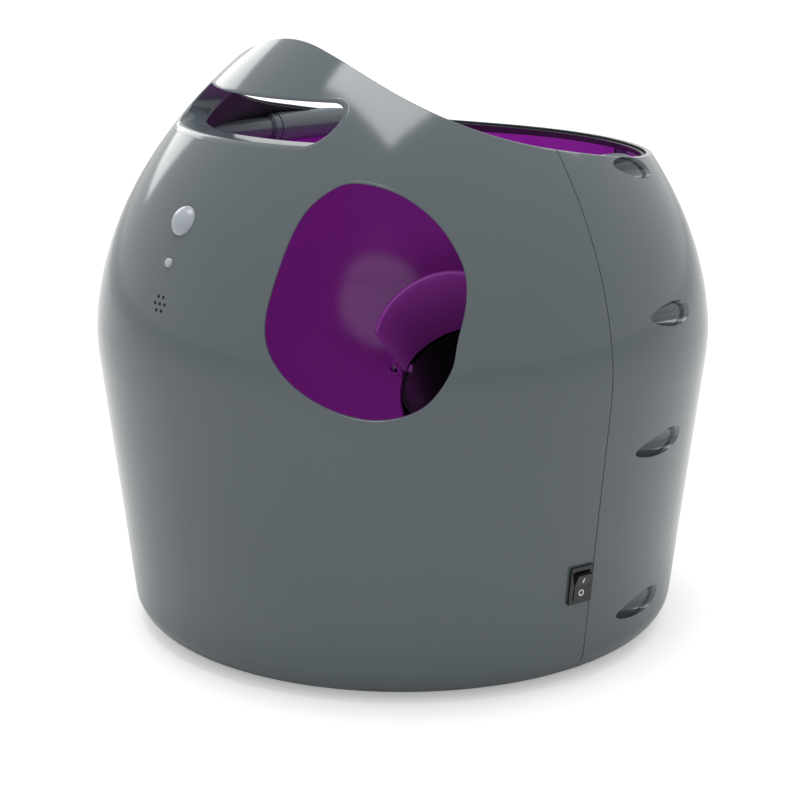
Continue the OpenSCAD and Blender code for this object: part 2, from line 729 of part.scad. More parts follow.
module base_plate() {
    color(dark) difference() {
        union() {
            translate([0, 0, plate_z]) cylinder(r = base_plate_r, h = base_t);
            at_board() translate([0, 0, top_of_base - 1]) cylinder(d = 7, h = board_z - top_of_base + 1);
            cradle_frame() for (p = cradle_bolts) translate([p[0], p[1], top_of_base - 1])
                cylinder(d = 9, h = boss_top - top_of_base + 1);
        }
        translate([0, bay_y, plate_z]) cube([bay_w, bay_l, 20], center = true);
        at_feet() translate([0, 0, plate_z - 1]) cylinder(d = stem_d + thread_gap, h = base_t + 2);
        at_board() translate([0, 0, plate_z + 1]) cylinder(d = board_screw_d + thread_gap, h = 20);
        cradle_frame() for (p = cradle_bolts) translate([p[0], p[1], plate_z + 1])
            cylinder(d = bolt_d + thread_gap, h = 20);
    }
}
module feet() {
    color([0.12, 0.12, 0.12]) at_feet() {
        cylinder(d = foot_d, h = plate_z);
        cylinder(d = stem_d, h = top_of_base);
        translate([0, 0, top_of_base]) cylinder(d = 8, h = 1.5);
    }
}
module battery_box() {
    color(dark) translate([0, bay_y, top_of_base]) difference() {
        translate([-bay_w / 2 - bay_wall, -bay_l / 2 - bay_wall, 0])
            cube([bay_w + 2 * bay_wall, bay_l + 2 * bay_wall, bay_h + bay_wall]);
        translate([-bay_w / 2, -bay_l / 2, -1]) cube([bay_w, bay_l, bay_h + 1]);
    }
}
cell_pitch = 34.5;
module battery_contacts() {
    color(steel) for (s = [-1, 1], i = [-1:1])
        translate([i * cell_pitch, bay_y + s * (bay_l / 2 - 0.5), top_of_base + bay_h / 2]) {
            cube([26, 0.8, 24], center = true);
            rotate([s * 90, 0, 0]) cylinder(d = 8, h = 1.8);
        }
}
door_t = 2;
door_margin = 4;
module battery_door() {
    color(dark) translate([0, bay_y, plate_z - fit]) difference() {
        translate([-bay_w / 2 - door_margin, -bay_l / 2 - door_margin, -door_t])
            cube([bay_w + 2 * door_margin, bay_l + 2 * door_margin, door_t]);
        for (i = [-2:2]) translate([0, bay_l / 2 - 14 + i * 3, -door_t]) cube([40, 1.2, 1], center = true);
    }
}
module launcher_cradle() {
    color(dark) difference() {
        cradle_frame() difference() {
            union() {
                translate([-33, -41, boss_top]) cube([66, 77, cradle_t]);
                translate([-30, -40, boss_top]) cube([60, 5, 110]);
                for (x = [-20, 16]) translate([x, -40, boss_top]) cube([4, 66, 26]);
            }
            for (p = cradle_bolts) translate([p[0], p[1], 0]) cylinder(d = bolt_d + 2 * fit, h = 100);
        }
        barrel_frame() translate([0, 0, -beyond]) cylinder(r = barrel_r + fit, h = 2 * beyond);
        barrel_frame() translate([0, 0, cap_at - 30]) cylinder(r = barrel_r + cap_flange + fit, h = 36);
        // the saddle holds the lower side of the barrel only
        barrel_frame() translate([-beyond / 2, -12, -beyond]) cube([beyond, beyond, 2 * beyond]);
        barrel_frame() translate([-beyond / 2, -60, drive_z - 60])
            cube([beyond, beyond, cap_at - drive_z + 60]);
    }
}
module cradle_screws() {
    color(steel) cradle_frame() for (p = cradle_bolts) translate([p[0], p[1], 0]) {
        translate([0, 0, boss_top + cradle_t]) cylinder(d = 6, h = 2);
        translate([0, 0, plate_z + 1.5]) cylinder(d = bolt_d, h = boss_top + cradle_t - plate_z - 1);
    }
}
// the control board, with plain blocks for its components
module main_board() {
    color([0.10, 0.35, 0.20]) translate([board_at[0], board_at[1], board_z]) difference() {
        union() {
            translate([-board_size[0] / 2, -board_size[1] / 2, 0])
                cube([board_size[0], board_size[1], board_t]);
            translate([-6, -8, 1.5]) cube([14, 14, 2.1]);
            for (i = [0:2]) translate([-30 + i * 12, 14, 1.5]) cylinder(d = 8, h = 13);
            for (i = [0:3]) translate([6 + i * 6, -24, 1.5]) cube([5, 7, 7]);
            translate([22, 6, 1.5]) cube([12, 4, 12]);
        }
        for (p = board_holes) translate(p) cylinder(d = board_screw_d + 2 * fit, h = 5, center = true);
    }
}
board_screw_d = 2.5;
module board_screws() {
    color(steel) at_board() {
        translate([0, 0, board_z + board_t]) cylinder(d = 5.4, h = 1.8);
        translate([0, 0, plate_z + 1.5]) cylinder(d = board_screw_d, h = board_z - plate_z);
    }
}

// ---- sensor panel, switch, dial, jack ----
lens_t = 1.2;
lens_rise = 5;                                 // the lens stands this far out of the wall
lens_r = (pow(pir_d / 2, 2) + pow(lens_rise, 2)) / 2 / lens_rise;
module pir_lens() {
    color([0.85, 0.87, 0.9]) on_side(panel_az, pir_z) difference() {
        union() {
            intersection() {
                translate([0, 0, lens_rise - lens_r]) sphere(r = lens_r);
                translate([0, 0, -1]) cylinder(d = pir_d, h = lens_rise + 1);
            }
            translate([0, 0, -6]) cylinder(d = pir_d, h = 6);
            translate([0, 0, -7]) cylinder(d = pir_d + 4, h = 1.6);
        }
        intersection() {
            translate([0, 0, lens_rise - lens_r - lens_t]) sphere(r = lens_r);
            translate([0, 0, -10]) cylinder(d = pir_d - 2 * lens_t, h = 20);
        }
    }
}
module led_lens() {
    color([0.9, 0.92, 0.95]) on_side(panel_az, led_z) {
        translate([0, 0, -7]) cylinder(d = led_d, h = 7.6);
        intersection() {
            translate([0, 0, -1]) sphere(d = led_d + 0.6);
            translate([0, 0, 10.5]) cube([20, 20, 20], center = true);
        }
    }
}
// the board stands behind lens and lamp, square to the wall between them
board_mid_z = (pir_z + led_z) / 2 + 2;
board_depth = 12.5;     // from the outer surface to the board
sensor_board_w = 30;
sensor_board_l = 44;
module sensor_board() {
    color([0.10, 0.35, 0.20]) on_side(panel_az, board_mid_z) {
        translate([-sensor_board_w / 2, -sensor_board_l / 2, -board_depth - board_t])
            cube([sensor_board_w, sensor_board_l, board_t]);
        translate([0, 9, -board_depth - 0.5]) cylinder(d = 9.2, h = 3.6);
    }
}
module speaker() {
    color(dark) on_side(panel_az, speaker_z) translate([0, -2, -wall - 7.5]) {
        cylinder(d = 28, h = 6);
        translate([0, 0, -4]) cylinder(d = 14, h = 4);
    }
}
bezel_lap = 1.5;        // the bezel overlaps the shell by this much all round
switch_body_w = switch_w - 2 * bezel_lap;
switch_body_h = switch_h - 2 * bezel_lap;
switch_wall = 1;
rocker_w = switch_body_w - 2 * switch_wall - 0.8;
rocker_h = switch_body_h - 2 * switch_wall - 1.4;
rocker_deep = 2;        // the rocker's pin lies this far inside the wall's outer surface
rocker_pin_d = 2.4;
rocker_swing = 8;
module switch_housing() {
    color(dark) on_side(switch_az, switch_z) difference() {
        union() {
            translate([0, 0, 1]) cube([switch_w, switch_h, 1.6], center = true);
            translate([0, 0, -9]) cube([switch_body_w, switch_body_h, 20], center = true);
            for (i = [-1:1]) translate([0, i * 6, -22]) cube([4.8, 0.8, 8], center = true);
        }
        translate([0, 0, -0.5])
            cube([switch_body_w - 2 * switch_wall, switch_body_h - 2 * switch_wall, 8], center = true);
        translate([0, 0, -rocker_deep]) rotate([0, 90, 0])
            cylinder(d = rocker_pin_d + thread_gap, h = rocker_w + 2, center = true, $fn = 32);
    }
}
module switch_rocker() {
    edge = rocker_h / 2;
    color([0.05, 0.05, 0.05]) on_side(switch_az, switch_z) translate([0, 0, -rocker_deep])
        rotate([rocker_swing, 0, 0]) {
            rotate([90, 0, 90]) linear_extrude(height = rocker_w, center = true)
                polygon([[-edge, 1.6], [-edge, 5.6], [0, 4], [edge, 5.6], [edge, 1.6], [3, -1], [-3, -1]]);
            rotate([0, 90, 0]) cylinder(d = rocker_pin_d, h = rocker_w + 1.8, center = true, $fn = 32);
        }
}
dial_shaft_d = 6;
dial_t = 6;
module distance_dial() {
    color(dark) on_side(180, dial_z) difference() {
        union() {
            translate([0, 0, 0.8]) cylinder(d = dial_d, h = 3);
            translate([0, 0, 3]) cylinder(d = dial_d - 8, h = dial_t - 3);
            translate([0, 0, -wall - 6]) cylinder(d = dial_shaft_d, h = wall + 7);
        }
        for (a = [0:20:340]) rotate(a) translate([dial_d / 2 - 3.4, 0, 3.9])
            cylinder(d = 3, h = dial_t, $fn = 24);
        translate([0, dial_d / 4, dial_t]) cube([1.6, dial_d / 2 - 8, 1.6], center = true);
    }
}
module distance_switch() {
    color([0.15, 0.25, 0.45]) on_side(180, dial_z) translate([0, 0, -wall - 8.8]) difference() {
        translate([-11, -11, 0]) cube([22, 22, 8]);
        translate([0, 0, 2.4]) cylinder(d = dial_shaft_d + 2 * running, h = 10);
    }
}
dc_z = 40;
jack_d = 11;
module dc_jack() {
    color(dark) on_side(180, dc_z) difference() {
        union() {
            translate([0, 0, 0.5]) cylinder(d = jack_d + 4, h = 1.5);
            translate([0, 0, -14]) cylinder(d = jack_d, h = 15);
        }
        translate([0, 0, -9]) difference() {
            cylinder(d = 5.5, h = 20);
            cylinder(d = 2.1, h = 9);
        }
    }
}

front_shell();
rear_shell();
shell_screws();
rim_liner();
hopper_bowl();
launch_cavity();
feed_chute();
launch_hood();
hood_pins();
breech_tube();
striker();
striker_pad();
striker_spring();
end_cap();
end_cap_screws();
rack_pinion();
final_gear();
idler_gear();
motor_pinion();
motor();
gear_shafts();
gearbox_inner_plate();
gearbox_outer_plate();
gearbox_posts();
launcher_cradle();
cradle_screws();
base_plate();
feet();
battery_box();
battery_contacts();
battery_door();
main_board();
board_screws();
pir_lens();
led_lens();
sensor_board();
speaker();
switch_housing();
switch_rocker();
distance_dial();
distance_switch();
dc_jack();
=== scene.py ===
import math

import bpy
import numpy as np
from mathutils import Matrix, Vector


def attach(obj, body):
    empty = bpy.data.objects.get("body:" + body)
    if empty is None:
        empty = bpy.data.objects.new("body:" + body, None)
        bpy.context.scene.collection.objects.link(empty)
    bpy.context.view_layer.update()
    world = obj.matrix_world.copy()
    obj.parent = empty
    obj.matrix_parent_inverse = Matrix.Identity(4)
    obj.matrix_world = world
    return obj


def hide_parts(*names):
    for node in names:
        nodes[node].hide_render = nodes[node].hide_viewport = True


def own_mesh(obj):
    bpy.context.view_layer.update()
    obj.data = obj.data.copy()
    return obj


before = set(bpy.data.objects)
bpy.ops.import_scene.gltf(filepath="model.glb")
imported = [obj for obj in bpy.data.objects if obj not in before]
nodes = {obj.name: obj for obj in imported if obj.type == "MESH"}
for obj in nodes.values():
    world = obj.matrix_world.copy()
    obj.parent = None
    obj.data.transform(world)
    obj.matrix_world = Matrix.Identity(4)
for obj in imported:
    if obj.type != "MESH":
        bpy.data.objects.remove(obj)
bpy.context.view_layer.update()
mm = 0.001      # sizes below are in millimetres, and each mesh is made in metres


# ---- front shell ----
# The front half of the body: one injection moulding in glossy slate plastic with a 3 mm wall.
# It carries the handle with its finger slot, the launch opening and the holes of the sensor
# panel, and eight screw bosses hold it to the rear half along the seam.
body_r = 186.0
base_r = 165.8
shoulder_z = 176.0
shoulder_soft = 10.0
dome_h = 220.0
dome_side, dome_top = 1.95, 1.34
foot_round = 18.0
foot_flange = 8.0
wall = 3.0
shell_lift = 2.0
seam = 0.15
edge_round = 0.9
flare = math.atan((body_r - base_r) / shoulder_z)
foot_z = shell_lift + foot_round
foot_r = base_r + foot_z * math.tan(flare) - foot_round / math.cos(flare)


def side_r(z):
    """Outer radius of the body at height z, above the rounded foot."""
    z = np.asarray(z, float)
    u = np.clip((z - shoulder_z) / dome_h, 0, 0.999)
    dome = body_r * (1 - u ** dome_side) ** (1 / dome_top)
    straight = base_r + z * math.tan(flare)
    b = shoulder_soft
    t = np.clip((z - shoulder_z + b) / (2 * b), 0, 1)
    low = base_r + (shoulder_z - b) * math.tan(flare)
    high = body_r * (1 - (b / dome_h) ** dome_side) ** (1 / dome_top)
    soft = (1 - t) ** 2 * low + 2 * t * (1 - t) * body_r + t ** 2 * high
    return np.where(z < shoulder_z - b, straight, np.where(z > shoulder_z + b, dome, soft))


def side_normal(z):
    """Outward direction of the wall at height z, as (radial, upward)."""
    slope = (side_r(z + 0.05) - side_r(z - 0.05)) / 0.1
    size = np.sqrt(1 + slope ** 2)
    return 1 / size, -slope / size


def wall_point(z, depth):
    """Radius and height of the point at a depth under the outer surface at height z."""
    out, up = side_normal(z)
    return side_r(z) - depth * out, z - depth * up


foot_turn = np.radians(np.linspace(-90, -math.degrees(flare), 14))


def wall_outline(depth):
    """The whole outline at a depth, foot to dome: radius, height, and the outward direction there."""
    low, high = shoulder_z - shoulder_soft, shoulder_z + shoulder_soft
    z = np.concatenate([np.linspace(foot_z - foot_round * math.sin(flare) + 0.2, low, 60),
                        np.linspace(low + 0.2, high, 60),
                        np.linspace(high + 0.2, shoulder_z + 0.9 * dome_h, 500)])
    out, up = side_normal(z)
    r, h = wall_point(z, depth)
    bend = foot_round - depth
    return (np.concatenate([foot_r + bend * np.cos(foot_turn), r]),
            np.concatenate([foot_z + bend * np.sin(foot_turn), h]),
            np.concatenate([np.cos(foot_turn), out]), np.concatenate([np.sin(foot_turn), up]))


def bent_line(p, n):
    """A cubic curve through its first and last point, drawn towards the two between."""
    t = np.linspace(0, 1, n)[:, None]
    p = np.array(p, float)
    return (1 - t) ** 3 * p[0] + 3 * t * (1 - t) ** 2 * p[1] + 3 * t * t * (1 - t) * p[2] + t ** 3 * p[3]


handle_back = 79.0
rim_side_z = 302.0
rim_back_z = 284.0


def rim_line(lower):
    """Height of the rim over the distance from front to back, seen from the side."""
    y0, z0, z1 = -handle_back + lower, rim_side_z - lower, rim_back_z - lower
    front = bent_line([(y0, z0 + 50), (-75 + lower, z0 + 25), (-45, z0 + 8.5), (0, z0)], 200)
    back = bent_line([(0, z0), (45, z0 - 8.5), (95, z1 + 0.5), (165, z1)], 100)
    line = np.concatenate([[(y0 - 0.01, 500)], front, back[1:], [(400, z1)]])
    return line[:, 0], line[:, 1]


def rim_height(across, depth, lower):
    """Where each column of the wall meets the rim. across gives y from the radius."""
    line = rim_line(lower)
    low, high = np.full(len(across), 220.0), np.full(len(across), 368.0)
    for _ in range(34):
        mid = (low + high) / 2
        r, z = wall_point(mid, depth)
        y = np.array([f(v) for f, v in zip(across, r)])
        over = z > np.interp(y, *line)
        low, high = np.where(over, low, mid), np.where(over, mid, high)
    return low


def piece(name, points, faces):
    """A mesh object from points in millimetres, with its faces turned outwards."""
    points = np.asarray(points, float) * mm
    mesh = bpy.data.meshes.new(name)
    mesh.from_pydata(points.tolist(), [], [list(f) for f in faces])
    tri = np.array([(f[0], f[i], f[i + 1]) for f in faces for i in range(1, len(f) - 1)])
    a, b, c = (points[tri[:, i]] for i in range(3))
    if np.einsum("ij,ij->", a, np.cross(b, c)) < 0:
        mesh.flip_normals()
    mesh.validate()
    obj = bpy.data.objects.new(name, mesh)
    bpy.context.scene.collection.objects.link(obj)
    return obj


def moulded_wall(name, turns, outer, inner, lower=0.0, low_z=None, seam_y=None, rows=78):
    """A piece of the body's wall between two depths, from the foot or from low_z up to the rounded rim.
    turns are its columns in degrees from the front; without seam_y it runs all the way round."""
    columns = [(math.radians(t), None, 0.0) for t in turns]
    if seam_y is not None:
        first, last, sign = turns[0], turns[-1], 1 if seam_y > 0 else -1
        lips = [(seam_y + sign * t, 0.5 - math.sqrt(0.25 - (0.5 - t) ** 2)) for t in (0, 0.12, 0.28, 0.5)]
        columns = ([(math.radians(first), y, d) for y, d in lips] + columns[1:-1]
                   + [(math.radians(last), y, d) for y, d in lips[::-1]])
    across = [(lambda r, a=a, y=y: -r * math.cos(a) if y is None else y) for a, y, _ in columns]
    top_out, top_in = rim_height(across, outer, lower), rim_height(across, inner, lower)
    loops = []
    for (a, y_at, soft), z_out, z_in in zip(columns, top_out, top_in):
        sides = []
        for z_top, depth, cut in ((z_out, outer, soft), (z_in, inner, 0.0)):
            run_up = side_normal(z_top)[0]
            z_end = z_top - edge_round * run_up
            if low_z is None:
                bend = foot_round - depth - cut
                foot = [(foot_r - foot_flange, foot_z - bend)]
                foot += [(foot_r + bend * math.cos(t), foot_z + bend * math.sin(t)) for t in foot_turn]
                low, high = shoulder_z - shoulder_soft, shoulder_z + shoulder_soft
                z = np.concatenate([np.linspace(foot_z + 4, low, 24), np.linspace(low + 2, high, 10),
                                    np.linspace(high + 2, z_end, rows)])
            else:
                foot = []
                z = np.linspace(low_z + depth * side_normal(low_z)[1], z_end, rows)
            r, h = wall_point(z, depth + cut)
            sides.append((foot + list(zip(r, h)), np.array(wall_point(z_top, depth))))
        (out_rows, out_top), (in_rows, in_top) = sides
        land = (in_top - out_top) / np.linalg.norm(in_top - out_top)
        turn = [0.25, 0.5, 0.75, 1.0]
        edge_out = [(1 - t) ** 2 * np.array(out_rows[-1]) + 2 * t * (1 - t) * out_top
                    + t * t * (out_top + edge_round * land) for t in turn]
        edge_in = [(1 - t) ** 2 * np.array(in_rows[-1]) + 2 * t * (1 - t) * in_top
                   + t * t * (in_top - edge_round * land) for t in turn]
        ring = np.array(out_rows + edge_out + edge_in[::-1] + in_rows[::-1])
        r, z = ring[:, 0], ring[:, 1]
        if y_at is None:
            x, y = r * math.sin(a), -r * math.cos(a)
        else:
            x, y = np.sign(math.sin(a)) * np.sqrt(r * r - y_at * y_at), np.full(len(r), y_at)
        loops.append(np.stack([x, y, z], 1))
    count, size = len(loops), len(loops[0])
    closed = seam_y is None
    faces = []
    for i in range(count if closed else count - 1):
        j = (i + 1) % count
        for k in range(size):
            m = (k + 1) % size
            faces.append((i * size + k, j * size + k, j * size + m, i * size + m))
    if not closed:
        for k in range(size // 2 - 1):
            strip = (k, k + 1, size - 2 - k, size - 1 - k)
            faces.append(strip)
            faces.append(tuple((count - 1) * size + v for v in strip[::-1]))
    return piece(name, np.concatenate(loops), faces)


def turned(name, outline, steps=180, centre=(0, 0), close=True):
    """A solid turned about an upright axis from (radius, height) points, bottom to top."""
    outline = np.array(outline, float)
    a = np.linspace(0, 2 * math.pi, steps, endpoint=False)
    points = [(centre[0] + r * math.sin(t), centre[1] - r * math.cos(t), z) for t in a for r, z in outline]
    n = len(outline)
    faces = [(i * n + k, (i + 1) % steps * n + k, (i + 1) % steps * n + k + 1, i * n + k + 1)
             for i in range(steps) for k in range(n - 1)]
    if close:
        faces += [tuple(i * n for i in range(steps))[::-1], tuple(i * n + n - 1 for i in range(steps))]
    else:
        faces += [(i * n + n - 1, (i + 1) % steps * n + n - 1, (i + 1) % steps * n, i * n)
                  for i in range(steps)]
    return piece(name, points, faces)


def body_inside(name, depth):
    """A solid that fills the body up to a depth under its outer surface."""
    r, z, _, _ = wall_outline(depth)
    keep = np.unique(np.concatenate([np.arange(0, 134, 7), np.arange(134, len(r), 20), [len(r) - 1]]))
    return turned(name, list(zip(r[keep], z[keep])), steps=144)


def side_place(turn, z):
    """The frame of a place on the body's side: x across, y up the wall, z out of it. Millimetres."""
    slope = math.atan(float(side_r(z + 1) - side_r(z - 1)) / 2)
    return (Matrix.Rotation(math.radians(turn), 4, "Z") @ Matrix.Translation((0, -float(side_r(z)), z))
            @ Matrix.Rotation(math.radians(90) + slope, 4, "X"))


def rod(name, place, radius, low, high, steps=48):
    """A round bar along z of a place, between two heights."""
    points = []
    for h in (low, high):
        for i in range(steps):
            t = 2 * math.pi * i / steps
            points.append(place @ Vector((radius * math.cos(t), radius * math.sin(t), h)))
    faces = [(i, (i + 1) % steps, steps + (i + 1) % steps, steps + i) for i in range(steps)]
    faces += [tuple(range(steps))[::-1], tuple(range(steps, 2 * steps))]
    return piece(name, points, faces)


def prism(name, place, outline, low, high):
    """A bar along z of a place with a flat outline of (x, y) points."""
    n = len(outline)
    points = [place @ Vector((x, y, h)) for h in (low, high) for x, y in outline]
    faces = [(i, (i + 1) % n, n + (i + 1) % n, n + i) for i in range(n)]
    faces += [tuple(range(n))[::-1], tuple(range(n, 2 * n))]
    return piece(name, points, faces)


def rounded_box(w, h, r, steps=6):
    """Outline of a rectangle with rounded corners, about its middle."""
    across, up = w / 2 - r, h / 2 - r
    corners = [(across, up, 0), (-across, up, 90), (-across, -up, 180), (across, -up, 270)]
    return [(x + r * math.cos(math.radians(a + 90 * i / steps)),
             y + r * math.sin(math.radians(a + 90 * i / steps)))
            for x, y, a in corners for i in range(steps + 1)]


def shaped(obj, other, how):
    """Cuts, joins or trims a piece with another one, which is used up."""
    step = obj.modifiers.new("shape", "BOOLEAN")
    step.operation, step.object, step.solver = how, other, "MANIFOLD"
    bpy.context.view_layer.update()
    done = bpy.data.meshes.new_from_object(obj.evaluated_get(bpy.context.evaluated_depsgraph_get()))
    obj.modifiers.clear()
    old = obj.data
    obj.data = done
    bpy.data.meshes.remove(old)
    bpy.data.objects.remove(other)
    return obj


def together(name, parts):
    """One object from several meshes, which keep their own surfaces."""
    points, faces, start = [], [], 0
    for p in parts:
        points += [v.co / mm for v in p.data.vertices]
        faces += [tuple(start + v for v in f.vertices) for f in p.data.polygons]
        start += len(p.data.vertices)
        bpy.data.objects.remove(p)
    return piece(name, points, faces)


def wall_surface(depth):
    """Tells how far points lie from the wall's surface at a depth, and that surface's direction."""
    r, z, out, up = wall_outline(depth)

    def look(p):
        flat = np.hypot(p[:, 0], p[:, 1])
        gap = (flat - np.interp(p[:, 2], z, r)) * np.interp(p[:, 2], z, out)
        o, u = np.interp(p[:, 2], z, out), np.interp(p[:, 2], z, up)
        flat = np.maximum(flat, 1e-6)
        return np.abs(gap), np.stack([p[:, 0] / flat * o, p[:, 1] / flat * o, u], 1)
    return look


def ball_surface(centre, radius):
    """Tells how far points lie from a ball, and the ball's direction there."""
    def look(p):
        d = p - np.array(centre)
        size = np.maximum(np.linalg.norm(d, axis=1), 1e-6)
        return np.abs(size - radius), d / size[:, None]
    return look


def smooth_finish(obj, surfaces=(), angle=30, near=0.03):
    """Smooth shading with crisp edges, following the true curved surfaces where the mesh lies on one."""
    mesh = obj.data
    mesh.shade_smooth()
    mesh.set_sharp_from_angle(angle=math.radians(angle))
    if not surfaces:
        return obj
    count = len(mesh.loops)
    corner = np.zeros(count * 3)
    mesh.corner_normals.foreach_get("vector", corner)
    corner = corner.reshape(-1, 3)
    index = np.zeros(count, int)
    mesh.loops.foreach_get("vertex_index", index)
    points = np.zeros(len(mesh.vertices) * 3)
    mesh.vertices.foreach_get("co", points)
    points = points.reshape(-1, 3)[index] / mm
    flat = np.zeros(len(mesh.polygons) * 3)
    mesh.polygons.foreach_get("normal", flat)
    total = np.zeros(len(mesh.polygons), int)
    mesh.polygons.foreach_get("loop_total", total)
    flat = np.repeat(flat.reshape(-1, 3), total, axis=0)
    for look in surfaces:
        gap, true = look(points)
        agree = np.einsum("ij,ij->i", true, flat)
        use = (gap < near) & (np.abs(agree) > 0.9)
        corner[use] = true[use] * np.sign(agree[use])[:, None]
    mesh.normals_split_custom_set([tuple(n) for n in corner])
    return obj


opening_turn = 45.0
opening_z = 228.0
opening_points = [(-7, 61), (16, 56), (37, 42), (51, 22), (54, 4), (50.5, -16), (46.5, -34), (32, -52),
                  (7.6, -58.5), (-20, -52), (-43, -36), (-52.5, -15), (-47, 14), (-36, 42), (-22, 56)]


def flowing_loop(p, n):
    """A closed curve that passes smoothly through the points."""
    p = np.array(p, float)
    m, out = len(p), []
    for i in range(m):
        a, b, c, d = p[i - 1], p[i], p[(i + 1) % m], p[(i + 2) % m]
        for t in np.arange(n) / n:
            out.append(0.5 * (2 * b + t * (c - a) + t * t * (2 * a - 5 * b + 4 * c - d)
                              + t ** 3 * (3 * b - a - 3 * c + d)))
    return np.array(out)


def outward(loop):
    """Unit directions out of a closed flat loop that runs either way."""
    along = np.roll(loop, -1, 0) - np.roll(loop, 1, 0)
    side = np.stack([along[:, 1], -along[:, 0]], 1)
    side /= np.linalg.norm(side, axis=1)[:, None]
    area = np.sum(loop[:, 0] * np.roll(loop[:, 1], -1) - np.roll(loop[:, 0], -1) * loop[:, 1])
    return side if area > 0 else -side


def lip(name, turn, loop, soft, deep, wide):
    """The rounded edge of a hole: it rolls in from the outer surface and runs on inwards to a depth.
    loop is the hole's outline, [across, height], seen along its own direction."""
    side = outward(loop)
    rolls = [(soft * (1 - math.sin(t)), 0.0, soft * (1 - math.cos(t)))
             for t in np.radians(np.linspace(0, 90, 9))]
    rolls += [(0.0, deep * s, 0.0) for s in (0.55, 0.85)]
    rolls += [(0.0, deep - 0.5, 0.0), (0.15, deep - 0.15, 0.0), (0.5, deep, 0.0), (wide - 0.5, deep, 0.0),
              (wide, deep - 0.5, 0.0), (wide, wall / 2, 0.0)]
    rows = []
    for off, depth, back in rolls:
        flat = loop + off * side
        r, z, _, _ = wall_outline(depth)
        y = -np.sqrt(np.maximum(np.interp(flat[:, 1], z, r) ** 2 - flat[:, 0] ** 2, 0)) + back
        rows.append(np.stack([flat[:, 0], y, flat[:, 1]], 1))
    n, m = len(loop), len(rows)
    points = np.concatenate(rows) @ np.array(Matrix.Rotation(math.radians(turn), 3, "Z")).T
    faces = [(k * n + i, k * n + (i + 1) % n, (k + 1) % m * n + (i + 1) % n, (k + 1) % m * n + i)
             for k in range(m) for i in range(n)]
    return piece(name, points, faces)


def hole_cutter(name, turn, loop, grow):
    """A bar that cuts a hole of that outline straight through the wall."""
    flat = loop + grow * outward(loop)
    place = Matrix.Rotation(math.radians(turn), 4, "Z") @ Matrix.Rotation(math.radians(90), 4, "X")
    return prism(name, place, [tuple(p) for p in flat], 20, 260)


slot_w, slot_h, slot_z = 142.0, 21.5, 305.6
slot_soft, slot_collar, slot_deep = 2.5, 3.0, 13.0
opening_soft = 1.3
slot_mid = slot_z + slot_h / 2
half = (slot_w - slot_h) / 2
turn_right = np.radians(np.linspace(-90, 90, 33))
slot_loop = np.concatenate([
    np.stack([half + slot_h / 2 * np.cos(turn_right), slot_mid + slot_h / 2 * np.sin(turn_right)], 1),
    np.stack([np.linspace(half, -half, 82)[1:-1], np.full(80, slot_mid + slot_h / 2)], 1),
    np.stack([-half - slot_h / 2 * np.cos(turn_right), slot_mid - slot_h / 2 * np.sin(turn_right)], 1),
    np.stack([np.linspace(-half, half, 82)[1:-1], np.full(80, slot_mid - slot_h / 2)], 1)])
opening_loop = flowing_loop(opening_points, 12) + np.array([0, opening_z])

panel_turn = 4.0
pir_z, pir_d = 263.0, 18.0
led_z, led_d = 240.7, 5.6
speaker_z, speaker_hole, speaker_pitch = 218.7, 2.2, 4.4
switch_z, switch_w, switch_h = 62.5, 16.0, 22.5
switch_turn = 90 - math.degrees(math.asin((switch_w / 2 + 1) / float(side_r(switch_z))))
screw_heights = (34.0, 134.5, 208.5, 286.0)
pocket_d, pocket_floor, tube_d = 14.0, 22.0, 19.0
boss_d, boss_len, long_boss, collar_d, collar_len, screw_d = 14.0, 18.0, 64.0, 18.0, 5.0, 4.0


def pocket_x(z):
    above = z + (pocket_d / 2 if z > shoulder_z else 0)
    return math.sqrt(float(side_r(above)) ** 2 - pocket_floor ** 2) - pocket_d / 2 - 0.5


screw_spots = [(s * pocket_x(z), z) for z in screw_heights for s in (-1, 1)]


def along_y(x, z):
    """A place on a screw's line: its z axis runs from front to back."""
    return Matrix.Translation((x, 0, z)) @ Matrix.Rotation(math.radians(-90), 4, "X")


speaker_spots = [(0, 0)]
speaker_spots += [(speaker_pitch * math.cos(math.radians(a)), speaker_pitch * math.sin(math.radians(a)))
                  for a in range(0, 360, 60)]
front = moulded_wall("front_body", np.arange(-90, 90.01, 0.5), 0, wall, seam_y=-seam)
for cutter in (hole_cutter("slot_hole", 0, slot_loop, slot_soft - 0.04),
               hole_cutter("opening_hole", opening_turn, opening_loop, opening_soft - 0.04),
               rod("pir_hole", side_place(panel_turn, pir_z), pir_d / 2 + 0.2, -12, 12, 72),
               rod("led_hole", side_place(panel_turn, led_z), led_d / 2 + 0.15, -12, 12),
               prism("switch_hole", side_place(switch_turn, switch_z),
                     rounded_box(switch_w - 2.4, switch_h - 2.4, 1.0), -12, 12)):
    shaped(front, cutter, "DIFFERENCE")
speaker_place = side_place(panel_turn, speaker_z)
speaker_holes = [rod("speaker_hole", speaker_place @ Matrix.Translation((x, y, 0)), speaker_hole / 2, -12, 12, 24)
                 for x, y in speaker_spots]
shaped(front, together("speaker_holes", speaker_holes), "DIFFERENCE")


def rods_at(spots, radius, low, high):
    """The same bar on several screw lines."""
    return together("bars", [rod("bar", along_y(x, z), radius, low, high, 64) for x, z in spots])


